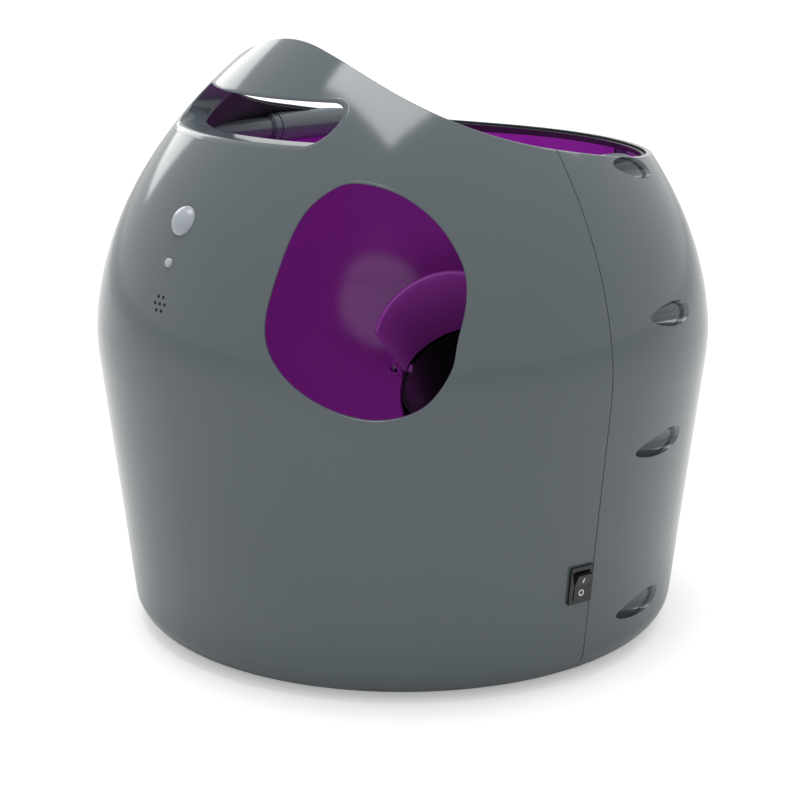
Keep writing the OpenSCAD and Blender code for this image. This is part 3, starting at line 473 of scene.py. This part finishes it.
top_pair = [spot for spot in screw_spots if spot[1] > rim_back_z]
other_pairs = [spot for spot in screw_spots if spot[1] <= rim_back_z]
bosses = rods_at(other_pairs, boss_d / 2, -boss_len, -seam)
long_bosses = rods_at(top_pair, boss_d / 2, -long_boss, -seam)
shaped(long_bosses, rods_at(top_pair, collar_d / 2, -collar_len, -seam), "UNION")
shaped(long_bosses, rods_at(top_pair, collar_d / 2 - 0.8, -collar_len - 1.2, -collar_len + 0.1), "UNION")
bosses = together("bosses", [bosses, long_bosses])
shaped(bosses, body_inside("trim", wall / 2), "INTERSECT")
shaped(bosses, rods_at(screw_spots, screw_d / 2, -boss_len + 2, 5), "DIFFERENCE")
slot_lip = lip("slot_lip", 0, slot_loop, slot_soft, slot_deep, slot_collar)
opening_lip = lip("opening_lip", opening_turn, opening_loop, opening_soft, wall, opening_soft + 0.6)
front_shell = together("front_shell_moulding", [front, slot_lip, opening_lip, bosses])
smooth_finish(front_shell, [wall_surface(0), wall_surface(wall)])


def surface(name, colour, rough, metal=0.0, grain=900, bump=0.02, vary=0.06, edge=0.0, rough_vary=0.15,
            **extra):
    """A moulded or worked finish: slight unevenness in colour and gloss, a fine grain and soft edges."""
    mat = bpy.data.materials.new(name)
    mat.use_nodes = True
    tree = mat.node_tree
    shader = tree.nodes["Principled BSDF"]
    shader.inputs["Metallic"].default_value = metal
    for key, value in extra.items():
        shader.inputs[key.replace("_", " ")].default_value = value
    spot = tree.nodes.new("ShaderNodeTexCoord").outputs["Object"]
    cloud = tree.nodes.new("ShaderNodeTexNoise")
    cloud.inputs["Scale"].default_value = 14
    cloud.inputs["Detail"].default_value = 4
    tree.links.new(spot, cloud.inputs["Vector"])
    tone = tree.nodes.new("ShaderNodeMapRange")
    tone.inputs["To Min"].default_value = 1 - vary
    tone.inputs["To Max"].default_value = 1 + vary
    tree.links.new(cloud.outputs["Fac"], tone.inputs["Value"])
    paint = tree.nodes.new("ShaderNodeVectorMath")
    paint.operation = "SCALE"
    paint.inputs[0].default_value = colour
    tree.links.new(tone.outputs["Result"], paint.inputs["Scale"])
    tree.links.new(paint.outputs["Vector"], shader.inputs["Base Color"])
    gloss = tree.nodes.new("ShaderNodeMapRange")
    gloss.inputs["To Min"].default_value = rough * (1 - rough_vary)
    gloss.inputs["To Max"].default_value = rough * (1 + rough_vary)
    tree.links.new(cloud.outputs["Fac"], gloss.inputs["Value"])
    tree.links.new(gloss.outputs["Result"], shader.inputs["Roughness"])
    fine = tree.nodes.new("ShaderNodeTexNoise")
    fine.inputs["Scale"].default_value = grain
    fine.inputs["Detail"].default_value = 3
    tree.links.new(spot, fine.inputs["Vector"])
    relief = tree.nodes.new("ShaderNodeBump")
    relief.inputs["Strength"].default_value = bump
    relief.inputs["Distance"].default_value = 0.0005
    tree.links.new(fine.outputs["Fac"], relief.inputs["Height"])
    if edge:
        soft = tree.nodes.new("ShaderNodeBevel")
        soft.samples = 4
        soft.inputs["Radius"].default_value = edge * mm
        tree.links.new(soft.outputs["Normal"], relief.inputs["Normal"])
    tree.links.new(relief.outputs["Normal"], shader.inputs["Normal"])
    return mat


def dressed(obj, body, slot, mat, *stands_for):
    """Gives a piece its finish and its body, and hides the nodes that it stands for. slot is not used."""
    obj.data.materials.clear()
    obj.data.materials.append(mat)
    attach(obj, body)
    if stands_for:
        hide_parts(*stands_for)
    return obj


slate_gloss = surface("slate_gloss", (0.082, 0.102, 0.111), 0.12, grain=220, bump=0.012, vary=0.04, edge=0.5)
dressed(front_shell, "housing", "shell", slate_gloss, "front_shell")


# ---- rear shell ----
# The back half of the same moulding. Eight long screws pass into it from behind, so each has a
# round pocket that breaks through the curved side, with a tube round it inside the body.
dial_z, dial_shaft_d = 100.0, 6.0
inlet_z, inlet_d = 40.0, 11.0
rear = moulded_wall("rear_body", np.arange(90, 270.01, 0.75), 0, wall, seam_y=seam)
shaped(rear, rods_at(screw_spots, pocket_d / 2, pocket_floor, 200), "DIFFERENCE")
tubes = rods_at(screw_spots, tube_d / 2, seam, 190)
shaped(tubes, body_inside("trim", wall / 2), "INTERSECT")
shaped(tubes, rods_at(screw_spots, pocket_d / 2, pocket_floor, 200), "DIFFERENCE")
shaped(tubes, rods_at(screw_spots, screw_d / 2 + 0.3, -5, 30), "DIFFERENCE")
shaped(rear, rod("dial_hole", side_place(180, dial_z), dial_shaft_d / 2 + 0.06, -15, 15), "DIFFERENCE")
shaped(rear, rod("inlet_hole", side_place(180, inlet_z), inlet_d / 2 + 0.15, -15, 15), "DIFFERENCE")
rear_shell = together("rear_shell_moulding", [rear, tubes])
smooth_finish(rear_shell, [wall_surface(0), wall_surface(wall)])
dressed(rear_shell, "housing", "shell", slate_gloss, "rear_shell")


# ---- joining screws ----
# Eight plated steel screws with cross recesses, at the bottom of the pockets.
# They keep the mesh of the construction and get a brushed, plated finish.
def finished(names, mat):
    """Gives nodes that keep their own mesh their finish."""
    for name in names:
        obj = nodes[name]
        obj.data.materials.clear()
        obj.data.materials.append(mat)


plated_steel = surface("plated_steel", (0.56, 0.57, 0.58), 0.28, metal=1.0, grain=1500, bump=0.05, edge=0.15)
finished(["shell_screws"], plated_steel)


# ---- rim liner ----
# A thin black skin under the rim and behind the handle, which hides the joint between the shells
# and the hopper. It is a separate satin moulding, cut round the slot, bosses and launch recess.
fit = 0.3
liner_t = 2.5
bowl_top = 279.0
recess_r, recess_in, recess_z = 82.0, 125.0, 222.0
recess_mid = (recess_in * math.sin(math.radians(opening_turn)),
              -recess_in * math.cos(math.radians(opening_turn)), recess_z)


def ball(name, grow, steps=160, rings=80):
    """A ball about the middle of the launch recess."""
    r = recess_r + grow
    a = np.radians(np.linspace(-89.999, 89.999, rings + 1))
    return turned(name, [(r * math.cos(t), recess_z + r * math.sin(t)) for t in a], steps, recess_mid[:2])


def clear_bosses(obj):
    """Takes away the room of the bosses and screw tubes that stand in the hopper."""
    upper = [spot for spot in screw_spots if spot[1] > shoulder_z]
    lower_pair = [spot for spot in upper if spot not in top_pair]
    shaped(obj, together("rooms", [rods_at(top_pair, boss_d / 2 + fit, -long_boss - fit, 1),
                                   rods_at(lower_pair, boss_d / 2 + fit, -boss_len - fit, 1)]), "DIFFERENCE")
    shaped(obj, rods_at(upper, tube_d / 2 + fit, -0.5, 200), "DIFFERENCE")
    shaped(obj, rods_at(top_pair, collar_d / 2 + fit, -collar_len - fit, 1), "DIFFERENCE")


liner_in, liner_out = wall + fit, wall + fit + liner_t
rim_under = 1.5        # how far the liner and the hopper end below the shell's rim
liner = moulded_wall("rim_liner_skin", np.arange(0, 360, 0.75), liner_in, liner_out, lower=rim_under,
                     low_z=bowl_top, rows=26)
shaped(liner, hole_cutter("slot_room", 0, slot_loop, liner_in), "DIFFERENCE")
shaped(liner, hole_cutter("opening_room", opening_turn, opening_loop, 0), "DIFFERENCE")
shaped(liner, ball("recess_room", 2 * liner_t + 2 * fit), "DIFFERENCE")
clear_bosses(liner)
smooth_finish(liner, [wall_surface(liner_in), wall_surface(liner_out)])
satin_black = surface("satin_black", (0.013, 0.013, 0.015), 0.32, grain=700, bump=0.04, edge=0.4)
dressed(liner, "housing", "black", satin_black, "rim_liner")


# ---- hopper bowl ----
# The purple funnel that holds the balls: a wall under the rim, a floor that falls to the feed
# hole, a hump over the launch recess and a flat cover over the sensor board. One glossy moulding.
throw_turn, throw_rise = math.radians(25), math.radians(42)
mouth = Vector((105, -56, 202.5))
barrel = (Matrix.Translation(mouth) @ Matrix.Rotation(throw_turn, 4, "Z")
          @ Matrix.Rotation(math.radians(90) - throw_rise, 4, "X"))      # z is the throw, y its upper side
bore_d, barrel_wall, hood_len = 75.0, 2.5, 52.0
breech_run = 93.0      # from the hood's pins back to the resting striker
ball_d = 65.0
feed_up = 96.0         # the feed hole's middle over the barrel's line
floor_drop = 4.0       # the hopper floor's lowest point under that middle
floor_fall = 16
striker_face = -hood_len - breech_run
feed_at = striker_face + ball_d / 2
feed_hole = barrel @ Vector((0, feed_up, feed_at))
floor_z = feed_hole.z - floor_drop
floor_rise = math.tan(math.radians(floor_fall))
feed_place = barrel @ Matrix.Translation((0, 0, feed_at)) @ Matrix.Rotation(math.radians(-90), 4, "X")
board_z, board_w, board_l = (pir_z + led_z) / 2 + 2, 30.0, 44.0
gap = wall + 2 * fit


def funnel(name, low, high):
    """The space between two heights over the sloping hopper floor."""
    reach = 330.0
    outline = [(0.01, floor_z + low), (reach, floor_z + low + reach * floor_rise),
               (reach, floor_z + high + reach * floor_rise), (0.01, floor_z + high)]
    return turned(name, outline, 180, feed_hole[:2])


def board_cover(name, grow):
    """The room of the sensor board behind lens and lamp, with a margin."""
    place = side_place(panel_turn, board_z)
    outline = rounded_box(board_w + 4 + 2 * grow, board_l + 6 + 2 * grow, 2.0)
    return prism(name, place, outline, -20 - grow, 10)


bowl = moulded_wall("hopper_funnel", np.arange(0, 360, 1.0), gap, gap + liner_t, lower=rim_under, low_z=190,
                    rows=60)
inside = funnel("floor", -liner_t, 0)
shaped(inside, board_cover("cover", 2), "UNION")
shaped(inside, body_inside("trim", gap + liner_t / 2), "INTERSECT")
shaped(bowl, inside, "UNION")
over_bowl = prism("top", Matrix.Translation((0, 0, bowl_top - fit)), rounded_box(500, 500, 5), 0, 200)
shaped(bowl, over_bowl, "DIFFERENCE")
hump = ball("hump", 2 * liner_t + fit)
shaped(hump, body_inside("trim", gap + liner_t - 0.1), "INTERSECT")
shaped(bowl, hump, "UNION")
shaped(bowl, funnel("above", -liner_t, 400), "INTERSECT")
shaped(bowl, ball("recess_room", liner_t + fit), "DIFFERENCE")
shaped(bowl, board_cover("cover_room", 0), "DIFFERENCE")
shaped(bowl, rod("feed", feed_place, bore_d / 2 - 1, 0, 200, 96), "DIFFERENCE")
shaped(bowl, hole_cutter("slot_room", 0, slot_loop, wall + fit), "DIFFERENCE")
clear_bosses(bowl)


def funnel_surface(height):
    """Tells how far points lie from the sloping floor, and its direction."""
    def look(p):
        d = p[:, :2] - np.array(feed_hole[:2])
        far = np.maximum(np.linalg.norm(d, axis=1), 1e-6)
        size = math.hypot(1, floor_rise)
        gap_up = (p[:, 2] - floor_z - height - far * floor_rise) / size
        true = [-d[:, 0] / far * floor_rise / size, -d[:, 1] / far * floor_rise / size, np.full(len(p), 1 / size)]
        return np.abs(gap_up), np.stack(true, 1)
    return look


smooth_finish(bowl, [wall_surface(gap), wall_surface(gap + liner_t), funnel_surface(0), funnel_surface(-liner_t),
                     ball_surface(recess_mid, recess_r + 2 * liner_t + fit),
                     ball_surface(recess_mid, recess_r + liner_t + fit)])
purple_gloss = surface("purple_gloss", (0.46, 0.046, 0.52), 0.18, grain=240, bump=0.012, vary=0.04, edge=0.5)
dressed(bowl, "housing", "purple", purple_gloss, "hopper_bowl")


# ---- launch recess ----
# A rounded purple pan behind the launch opening, moulded with the barrel's room cut through it.
# It slips under the hopper's hump and shows through the opening in the front shell.
hood_tilt = math.radians(20)
pin_d, ear_t = 5.0, 3.0
barrel_r = bore_d / 2 + barrel_wall
pivot = barrel @ Matrix.Translation((0, 0, -hood_len))
room = 0.8             # free space round the barrel, the hood and its ears
recess = ball("launch_pan", liner_t)
shaped(recess, ball("inside", 0), "DIFFERENCE")
shaped(recess, body_inside("trim", wall + fit), "INTERSECT")
shaped(recess, rod("barrel_room", pivot, barrel_r + room, -60, 0, 96), "DIFFERENCE")
for share in (0, 0.5, 1):
    tilted = pivot @ Matrix.Rotation(share * hood_tilt, 4, "X")
    shaped(recess, rod("hood_room", tilted, barrel_r + room, -8, 100, 96), "DIFFERENCE")
pin_line = pivot @ Matrix.Rotation(math.radians(90), 4, "Y")
ear_room = rod("ear_room", pin_line, pin_d / 2 + 4.1, -barrel_r - ear_t - room, barrel_r + ear_t + room)
shaped(recess, ear_room, "DIFFERENCE")
shaped(recess, rod("pin_room", pin_line, pin_d / 2 + 2, -barrel_r - 9, barrel_r + 9), "DIFFERENCE")
clear_bosses(recess)
smooth_finish(recess, [ball_surface(recess_mid, recess_r + liner_t), ball_surface(recess_mid, recess_r),
                       wall_surface(wall + fit)])
dressed(recess, "housing", "purple", purple_gloss, "launch_cavity")


# ---- feed chute ----
# The short purple tube that leads a ball from the hopper floor down into the barrel.
# It keeps the mesh of the construction.
finished(["feed_chute"], purple_gloss)


# ---- barrel hood ----
# The purple upper half of the pipe's end. It tilts on two pins to send the ball lower, and its
# back edge leans back over the barrel's oblique end, as the construction's does.
oblique = math.radians(18)
hood_back = 4.0                              # its back edge at the pivot's height, from the pivot
hood_open = -5.0                             # how far the half pipe reaches below the barrel's middle
lip_round = 0.8
running = 0.06


def hood_columns():
    """Closed cross-sections of the half pipe, from its right edge over the top to its left edge."""
    ring = []
    for s in np.linspace(0, 1, 61):
        rows = []
        for r in (barrel_r, bore_d / 2):
            start = math.asin(hood_open / r)
            a = start + s * (math.pi - 2 * start)
            x, y = r * math.cos(a), r * math.sin(a)
            back = -hood_len + hood_back - y * math.tan(oblique)
            rows.append([(x, y, z) for z in np.linspace(back, -lip_round, 14)])
        out_rows, in_rows = rows
        o, i = Vector(out_rows[-1]), Vector(in_rows[-1])
        nose = [o.lerp(i, 0.5 - 0.5 * math.cos(t)) + Vector((0, 0, lip_round * math.sin(t)))
                for t in np.radians((30, 60, 90, 120, 150))]
        ring.append([Vector(p) for p in out_rows] + nose + [Vector(p) for p in in_rows[::-1]])
    return ring


ring = hood_columns()
size = len(ring[0])
points = [barrel @ p for column in ring for p in column]
faces = [(i * size + k, (i + 1) * size + k, (i + 1) * size + (k + 1) % size, i * size + (k + 1) % size)
         for i in range(len(ring) - 1) for k in range(size)]
faces += [tuple(range(size)), tuple((len(ring) - 1) * size + k for k in range(size))[::-1]]
hood = piece("hood_pipe", points, faces)
ears = []
for s in (-1, 1):
    middle = s * (barrel_r + fit + ear_t / 2)
    ear = rod("ear", pin_line, pin_d / 2 + 3.5, middle - ear_t / 2, middle + ear_t / 2, 64)
    web = prism("web", pivot @ Matrix.Translation((s * (barrel_r + fit + ear_t / 2 - 1), 0, 9)),
                rounded_box(ear_t + 2, 9, 0.8), -4, 4)
    shaped(ear, web, "UNION")
    shaped(ear, rod("pin_hole", pin_line, pin_d / 2 + running, -80, 80), "DIFFERENCE")
    ears.append(ear)
hood = together("barrel_hood", [hood] + ears)
smooth_finish(hood, angle=35)
# A paler, whiter copy of the purple finish: painted highlight on the hood, standing in for the light band along its
# inside.
hood_purple_painted_highlight = surface("hood_purple_painted_highlight", (0.56, 0.10, 0.62), 0.16, grain=240, bump=0.01, vary=0.04, edge=0.5)
dressed(hood, "hood", "purple", hood_purple_painted_highlight, "launch_hood")
finished(["hood_pins"], plated_steel)


# ---- barrel and end cap ----
# The black barrel behind the hood, with its end cap, four cap screws and the saddle and bolts
# that hold it to the base plate. All of them keep the mesh of the construction.
moulded_black = surface("moulded_black", (0.018, 0.018, 0.02), 0.42, grain=900, bump=0.08, edge=0.4)
finished(["breech_tube", "end_cap", "launcher_cradle"], moulded_black)
finished(["end_cap_screws", "cradle_screws"], plated_steel)


# ---- striker and its spring ----
# A rack rod with a disc and a rubber face, driven by a coil spring between the disc and the cap.
# The coil replaces the plain sleeve.
slate_satin = surface("slate_satin", (0.11, 0.13, 0.14), 0.35, grain=900, bump=0.06, edge=0.3)
soft_rubber = surface("soft_rubber", (0.02, 0.02, 0.02), 0.75, grain=1400, bump=0.2, edge=0.4)
finished(["striker"], slate_satin)
finished(["striker_pad"], soft_rubber)
disc_back, striker_travel, spring_short = 6.0, 30.0, 20.0
cap_at = striker_face - disc_back - striker_travel - spring_short
spring_r, wire_r, spring_turns = 18.2, 0.9, 9
spring_low, spring_high = cap_at + fit + wire_r, striker_face - disc_back - fit - wire_r


def coil(name, place, radius, wire, low, high, turns, steps=40, sides=10):
    """A wire wound round the z axis of a place, its first and last turn closed flat."""
    total = turns * steps
    points, faces = [], []
    for i in range(total + 1):
        t = 2 * math.pi * i / steps
        share = min(max((i / steps - 1) / (turns - 2), 0), 1)
        base = (low + 2 * wire * min(i / steps, 1) + share * (high - low - 4 * wire)
                + 2 * wire * max(i / steps - turns + 1, 0))
        for k in range(sides):
            a = 2 * math.pi * k / sides
            r = radius + wire * math.cos(a)
            points.append(place @ Vector((r * math.cos(t), r * math.sin(t), base + wire * math.sin(a))))
    for i in range(total):
        for k in range(sides):
            m = (k + 1) % sides
            faces.append((i * sides + k, (i + 1) * sides + k, (i + 1) * sides + m, i * sides + m))
    faces += [tuple(range(sides)), tuple(total * sides + k for k in range(sides))[::-1]]
    return piece(name, points, faces)


spring = coil("drive_coil", barrel, spring_r, wire_r, spring_low, spring_high, spring_turns)
smooth_finish(spring, angle=50)
spring_steel = surface("spring_steel", (0.42, 0.43, 0.45), 0.3, metal=1.0, grain=1200, bump=0.05)
dressed(spring, "housing", "steel", spring_steel, "striker_spring")
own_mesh(spring)


# ---- winding gears ----
# Brass pinions and nylon wheels between two zinc plated plates on brass posts, with their steel
# shafts and the small motor that turns them.
turned_brass = surface("turned_brass", (0.60, 0.42, 0.16), 0.25, metal=1.0, grain=1600, bump=0.05, edge=0.12)
natural_nylon = surface("natural_nylon", (0.72, 0.72, 0.66), 0.4, grain=800, bump=0.05, edge=0.15,
                        Subsurface_Weight=0.05)
zinc_plate = surface("zinc_plate", (0.50, 0.51, 0.53), 0.34, metal=1.0, grain=500, bump=0.05, edge=0.2)
finished(["rack_pinion", "motor_pinion", "gearbox_posts"], turned_brass)
finished(["final_gear", "idler_gear"], natural_nylon)
finished(["gearbox_inner_plate", "gearbox_outer_plate"], zinc_plate)
finished(["gear_shafts", "motor"], plated_steel)


# ---- base plate, feet and battery bay ----
# The black bottom cover with four rubber feet, the box for six large cells, its nickel contacts
# and the sliding door underneath.
nickel = surface("nickel", (0.62, 0.60, 0.57), 0.25, metal=1.0, grain=1500, bump=0.04, edge=0.1)
finished(["base_plate", "battery_box", "battery_door"], moulded_black)
finished(["feet"], soft_rubber)
finished(["battery_contacts"], nickel)


# ---- boards and sounder ----
# Green control and sensor boards on their posts, their screws, and the black sounder capsule
# behind the seven holes.
solder_mask = surface("solder_mask", (0.01, 0.10, 0.035), 0.3, grain=600, bump=0.06, edge=0.15, vary=0.15)
finished(["main_board", "sensor_board"], solder_mask)
finished(["board_screws"], plated_steel)
finished(["speaker"], moulded_black)


# ---- motion sensor lens ----
# A milky dome pressed from soft plastic sheet, its inside divided into small facets that gather
# heat from many directions. It is pushed through its hole and held by a flange.
lens_rise, lens_t = 5.0, 1.2
lens_curve = ((pir_d / 2) ** 2 + lens_rise ** 2) / 2 / lens_rise
lens_end = math.asin(pir_d / 2 / lens_curve)
lens_turns = np.linspace(0.001, lens_end - 0.02, 18)
outer_line = [(lens_curve * math.sin(a), lens_rise - lens_curve + lens_curve * math.cos(a)) for a in lens_turns]
inner_line = [(max(r - lens_t * math.sin(a), 0.001), z - lens_t * math.cos(a))
              for (r, z), a in zip(outer_line, lens_turns)]
lens_r, flange_r, flange_z, lens_foot = pir_d / 2, pir_d / 2 + 2, -5.4, -7
lens_line = (inner_line + [(lens_r - lens_t, -0.6), (lens_r - lens_t, lens_foot)]
             + [(flange_r, lens_foot), (flange_r, flange_z), (lens_r, flange_z), (lens_r, -0.3), (lens_r - 0.1, 0.1)]
             + outer_line[::-1])


def turned_at(name, place, outline, steps=96):
    """A hollow piece turned about the z axis of a place from a closed (radius, height) outline."""
    n = len(outline)
    points = [place @ Vector((r * math.cos(t), r * math.sin(t), z))
              for t in np.linspace(0, 2 * math.pi, steps, endpoint=False) for r, z in outline]
    faces = [(i * n + k, (i + 1) % steps * n + k, (i + 1) % steps * n + (k + 1) % n, i * n + (k + 1) % n)
             for i in range(steps) for k in range(n)]
    return piece(name, points, faces)


lens = turned_at("motion_lens", side_place(panel_turn, pir_z), lens_line)
smooth_finish(lens, angle=40)
milky = surface("milky_lens", (0.36, 0.39, 0.43), 0.14, grain=300, bump=0.01, vary=0.02, Subsurface_Weight=0.35,
                Subsurface_Scale=0.004)
lens_tree = milky.node_tree
facets = lens_tree.nodes.new("ShaderNodeTexVoronoi")
facets.inputs["Scale"].default_value = 330
facets.feature = "F1"
lens_tree.links.new(lens_tree.nodes["Texture Coordinate"].outputs["Object"], facets.inputs["Vector"])
facet_relief = lens_tree.nodes.new("ShaderNodeBump")
facet_relief.inputs["Strength"].default_value = 0.35
facet_relief.inputs["Distance"].default_value = 0.0004
lens_tree.links.new(facets.outputs["Distance"], facet_relief.inputs["Height"])
lens_tree.links.new(facet_relief.outputs["Normal"], lens_tree.nodes["Bump"].inputs["Normal"])
dressed(lens, "housing", "milky_lens", milky, "pir_lens")


# ---- status lamp lens ----
# A short clear light guide with a domed end, pushed through its hole under the motion sensor.
clear = surface("clear_lens", (0.80, 0.83, 0.86), 0.12, grain=400, bump=0.01, vary=0.02,
                Transmission_Weight=0.55, IOR=1.49)
lamp_line = [(0.001, -7), (led_d / 2, -7), (led_d / 2, 0.2)]
lamp_line += [(led_d / 2 * math.cos(a), 0.2 + 2.0 * math.sin(a))
              for a in np.radians(np.linspace(8, 89.9, 12))]
lamp = turned_at("lamp_lens", side_place(panel_turn, led_z), lamp_line, 48)
smooth_finish(lamp, angle=40)
dressed(lamp, "housing", "clear_lens", clear, "led_lens")


# ---- power switch ----
# A snap-in rocker switch in glossy black plastic: a frame with a rounded bezel, and a rocker with
# the usual bar and ring moulded in white.
gloss_black = surface("gloss_black", (0.010, 0.010, 0.011), 0.16, grain=500, bump=0.02, edge=0.3)
finished(["switch_housing", "switch_rocker"], gloss_black)
mark_white = surface("mark_white", (0.75, 0.75, 0.75), 0.5, grain=900, bump=0.02)
rocker_swing = math.radians(8)
rocker_h = switch_h - 6.4
rocker_deep, face_dip, face_up = 2, 1.6, 4.8      # pin below the wall, hollow of the face, face over the pin
rocker = (side_place(switch_turn, switch_z) @ Matrix.Translation((0, 0, -rocker_deep))
          @ Matrix.Rotation(rocker_swing, 4, "X"))
face_slope = math.atan2(face_dip, rocker_h / 2)
upper_face = rocker @ Matrix.Translation((0, rocker_h / 4, face_up)) @ Matrix.Rotation(face_slope, 4, "X")
lower_face = rocker @ Matrix.Translation((0, -rocker_h / 4, face_up)) @ Matrix.Rotation(-face_slope, 4, "X")
bar = prism("on_bar", upper_face, rounded_box(0.7, 3.6, 0.2), -0.1, 0.06)
ring_line = [(1.25, -0.1), (1.85, -0.1), (1.85, 0.06), (1.25, 0.06)]
loop_mark = turned_at("off_ring", lower_face, ring_line, 40)
for mark in (bar, loop_mark):
    smooth_finish(mark)
    dressed(mark, "rocker", "gloss_black", mark_white)


# ---- distance dial ----
# The knob on the back that sets how far the ball flies, on the shaft of a small blue switch.
# Plain numbers stand round it on the rear shell.
finished(["distance_dial", "dc_jack"], moulded_black)
finished(["distance_switch"], surface("switch_blue", (0.03, 0.06, 0.20), 0.4, grain=800, bump=0.05, edge=0.2))
dial_place = side_place(180, dial_z)
figure_size, figure_ring, scale_sweep = 6.5, 26, 240
for number in range(1, 6):
    angle = math.radians(90 + scale_sweep / 2 - scale_sweep * (number - 1) / 4)
    text = bpy.data.curves.new("figure", "FONT")
    text.body = str(number)
    text.size, text.extrude = figure_size * mm, 0.05 * mm
    text.align_x, text.align_y = "CENTER", "CENTER"
    letter = bpy.data.objects.new("figure", text)
    bpy.context.scene.collection.objects.link(letter)
    bpy.context.view_layer.update()
    mesh = bpy.data.meshes.new_from_object(letter.evaluated_get(bpy.context.evaluated_depsgraph_get()))
    bpy.data.objects.remove(letter)
    spot = Vector((figure_ring * math.cos(angle), figure_ring * math.sin(angle)))
    number_piece = bpy.data.objects.new(f"dial_number_{number}", mesh)
    bpy.context.scene.collection.objects.link(number_piece)
    for v in mesh.vertices:
        local = Vector((v.co.x / mm + spot.x, v.co.y / mm + spot.y, 0))
        world = dial_place @ local
        drop = math.hypot(world.x, world.y) - float(side_r(world.z))
        v.co = (dial_place @ Vector((local.x, local.y, v.co.z / mm - drop + 0.03))) * mm
    smooth_finish(number_piece)
    dressed(number_piece, "housing", "shell", mark_white)


# ---- floor, lights and camera ----
# A plain pale floor in a white room, one large soft panel overhead, two weaker ones at the left
# and behind, and the camera where the photograph was taken.
floor_glow = 0.36      # lifts the floor to white, in the camera's view only
room_level = 0.75


def plain_floor():
    mesh = bpy.data.meshes.new("floor")
    far = 40.0
    mesh.from_pydata([(-far, -far, 0), (far, -far, 0), (far, far, 0), (-far, far, 0)], [], [(0, 1, 2, 3)])
    floor = bpy.data.objects.new("floor", mesh)
    bpy.context.scene.collection.objects.link(floor)
    mat = bpy.data.materials.new("pale_floor")
    mat.use_nodes = True
    tree = mat.node_tree
    tree.nodes["Principled BSDF"].inputs["Base Color"].default_value = (0.9, 0.9, 0.9, 1)
    tree.nodes["Principled BSDF"].inputs["Roughness"].default_value = 0.55
    tree.nodes["Principled BSDF"].inputs["Specular IOR Level"].default_value = 0.2
    seen = tree.nodes.new("ShaderNodeLightPath")
    glow = tree.nodes.new("ShaderNodeEmission")
    dim = tree.nodes.new("ShaderNodeMath")
    dim.operation = "MULTIPLY"
    dim.inputs[1].default_value = floor_glow
    tree.links.new(seen.outputs["Is Camera Ray"], dim.inputs[0])
    tree.links.new(dim.outputs["Value"], glow.inputs["Strength"])
    both = tree.nodes.new("ShaderNodeAddShader")
    tree.links.new(tree.nodes["Principled BSDF"].outputs["BSDF"], both.inputs[0])
    tree.links.new(glow.outputs["Emission"], both.inputs[1])
    tree.links.new(both.outputs["Shader"], tree.nodes["Material Output"].inputs["Surface"])
    mesh.materials.append(mat)


def white_room(level):
    world = bpy.data.worlds.new("white_room")
    bpy.context.scene.world = world
    world.use_nodes = True
    tree = world.node_tree
    seen = tree.nodes.new("ShaderNodeLightPath")
    most = tree.nodes.new("ShaderNodeMath")
    most.operation = "MAXIMUM"
    tree.links.new(seen.outputs["Is Camera Ray"], most.inputs[0])
    tree.links.new(seen.outputs["Is Glossy Ray"], most.inputs[1])
    again = tree.nodes.new("ShaderNodeMath")
    again.operation = "MAXIMUM"
    tree.links.new(most.outputs["Value"], again.inputs[0])
    tree.links.new(seen.outputs["Is Transmission Ray"], again.inputs[1])
    scale = tree.nodes.new("ShaderNodeMapRange")
    scale.inputs["To Min"].default_value = level
    scale.inputs["To Max"].default_value = 1.0
    tree.links.new(again.outputs["Value"], scale.inputs["Value"])
    tree.links.new(scale.outputs["Result"], tree.nodes["Background"].inputs["Strength"])
    tree.nodes["Background"].inputs["Color"].default_value = (1, 1, 1, 1)


def soft_panel(name, place, aim, width, height, power):
    lamp_data = bpy.data.lights.new(name, "AREA")
    lamp_data.shape = "RECTANGLE"
    lamp_data.size, lamp_data.size_y, lamp_data.energy = width, height, power
    panel = bpy.data.objects.new(name, lamp_data)
    bpy.context.scene.collection.objects.link(panel)
    panel.location = place
    panel.rotation_euler = (Vector(aim) - Vector(place)).to_track_quat("-Z", "Y").to_euler()
    return panel


plain_floor()
white_room(room_level)
soft_panel("top_panel", (-0.15, -0.18, 2.6), (-0.15, -0.18, 0), 1.45, 1.0, 30)
soft_panel("left_panel", (-2.4, 0.25, 1.1), (0, 0, 0.3), 1.2, 0.9, 8)
soft_panel("back_panel", (0.1, 2.0, 2.2), (0, 0, 0.2), 1.4, 0.6, 9)

photo_width, focal_pixels, sensor_width = 800, 2009.9, 36
stand_x, stand_y, stand_z = 0.948, -0.741, 0.460
camera_data = bpy.data.cameras.new("camera")
camera_data.sensor_width = sensor_width
camera_data.lens = focal_pixels / photo_width * sensor_width
camera_data.shift_x = -0.0033
camera = bpy.data.objects.new("camera", camera_data)
bpy.context.scene.collection.objects.link(camera)
look = Vector((-0.760, 0.594, -0.264)).normalized()
across = look.cross(Vector((0, 0, 1))).normalized()
up = across.cross(look)
camera.matrix_world = Matrix(((across.x, up.x, -look.x, stand_x), (across.y, up.y, -look.y, stand_y),
                              (across.z, up.z, -look.z, stand_z), (0, 0, 0, 1)))
bpy.context.scene.camera = camera
bpy.context.scene.view_settings.view_transform = "Standard"
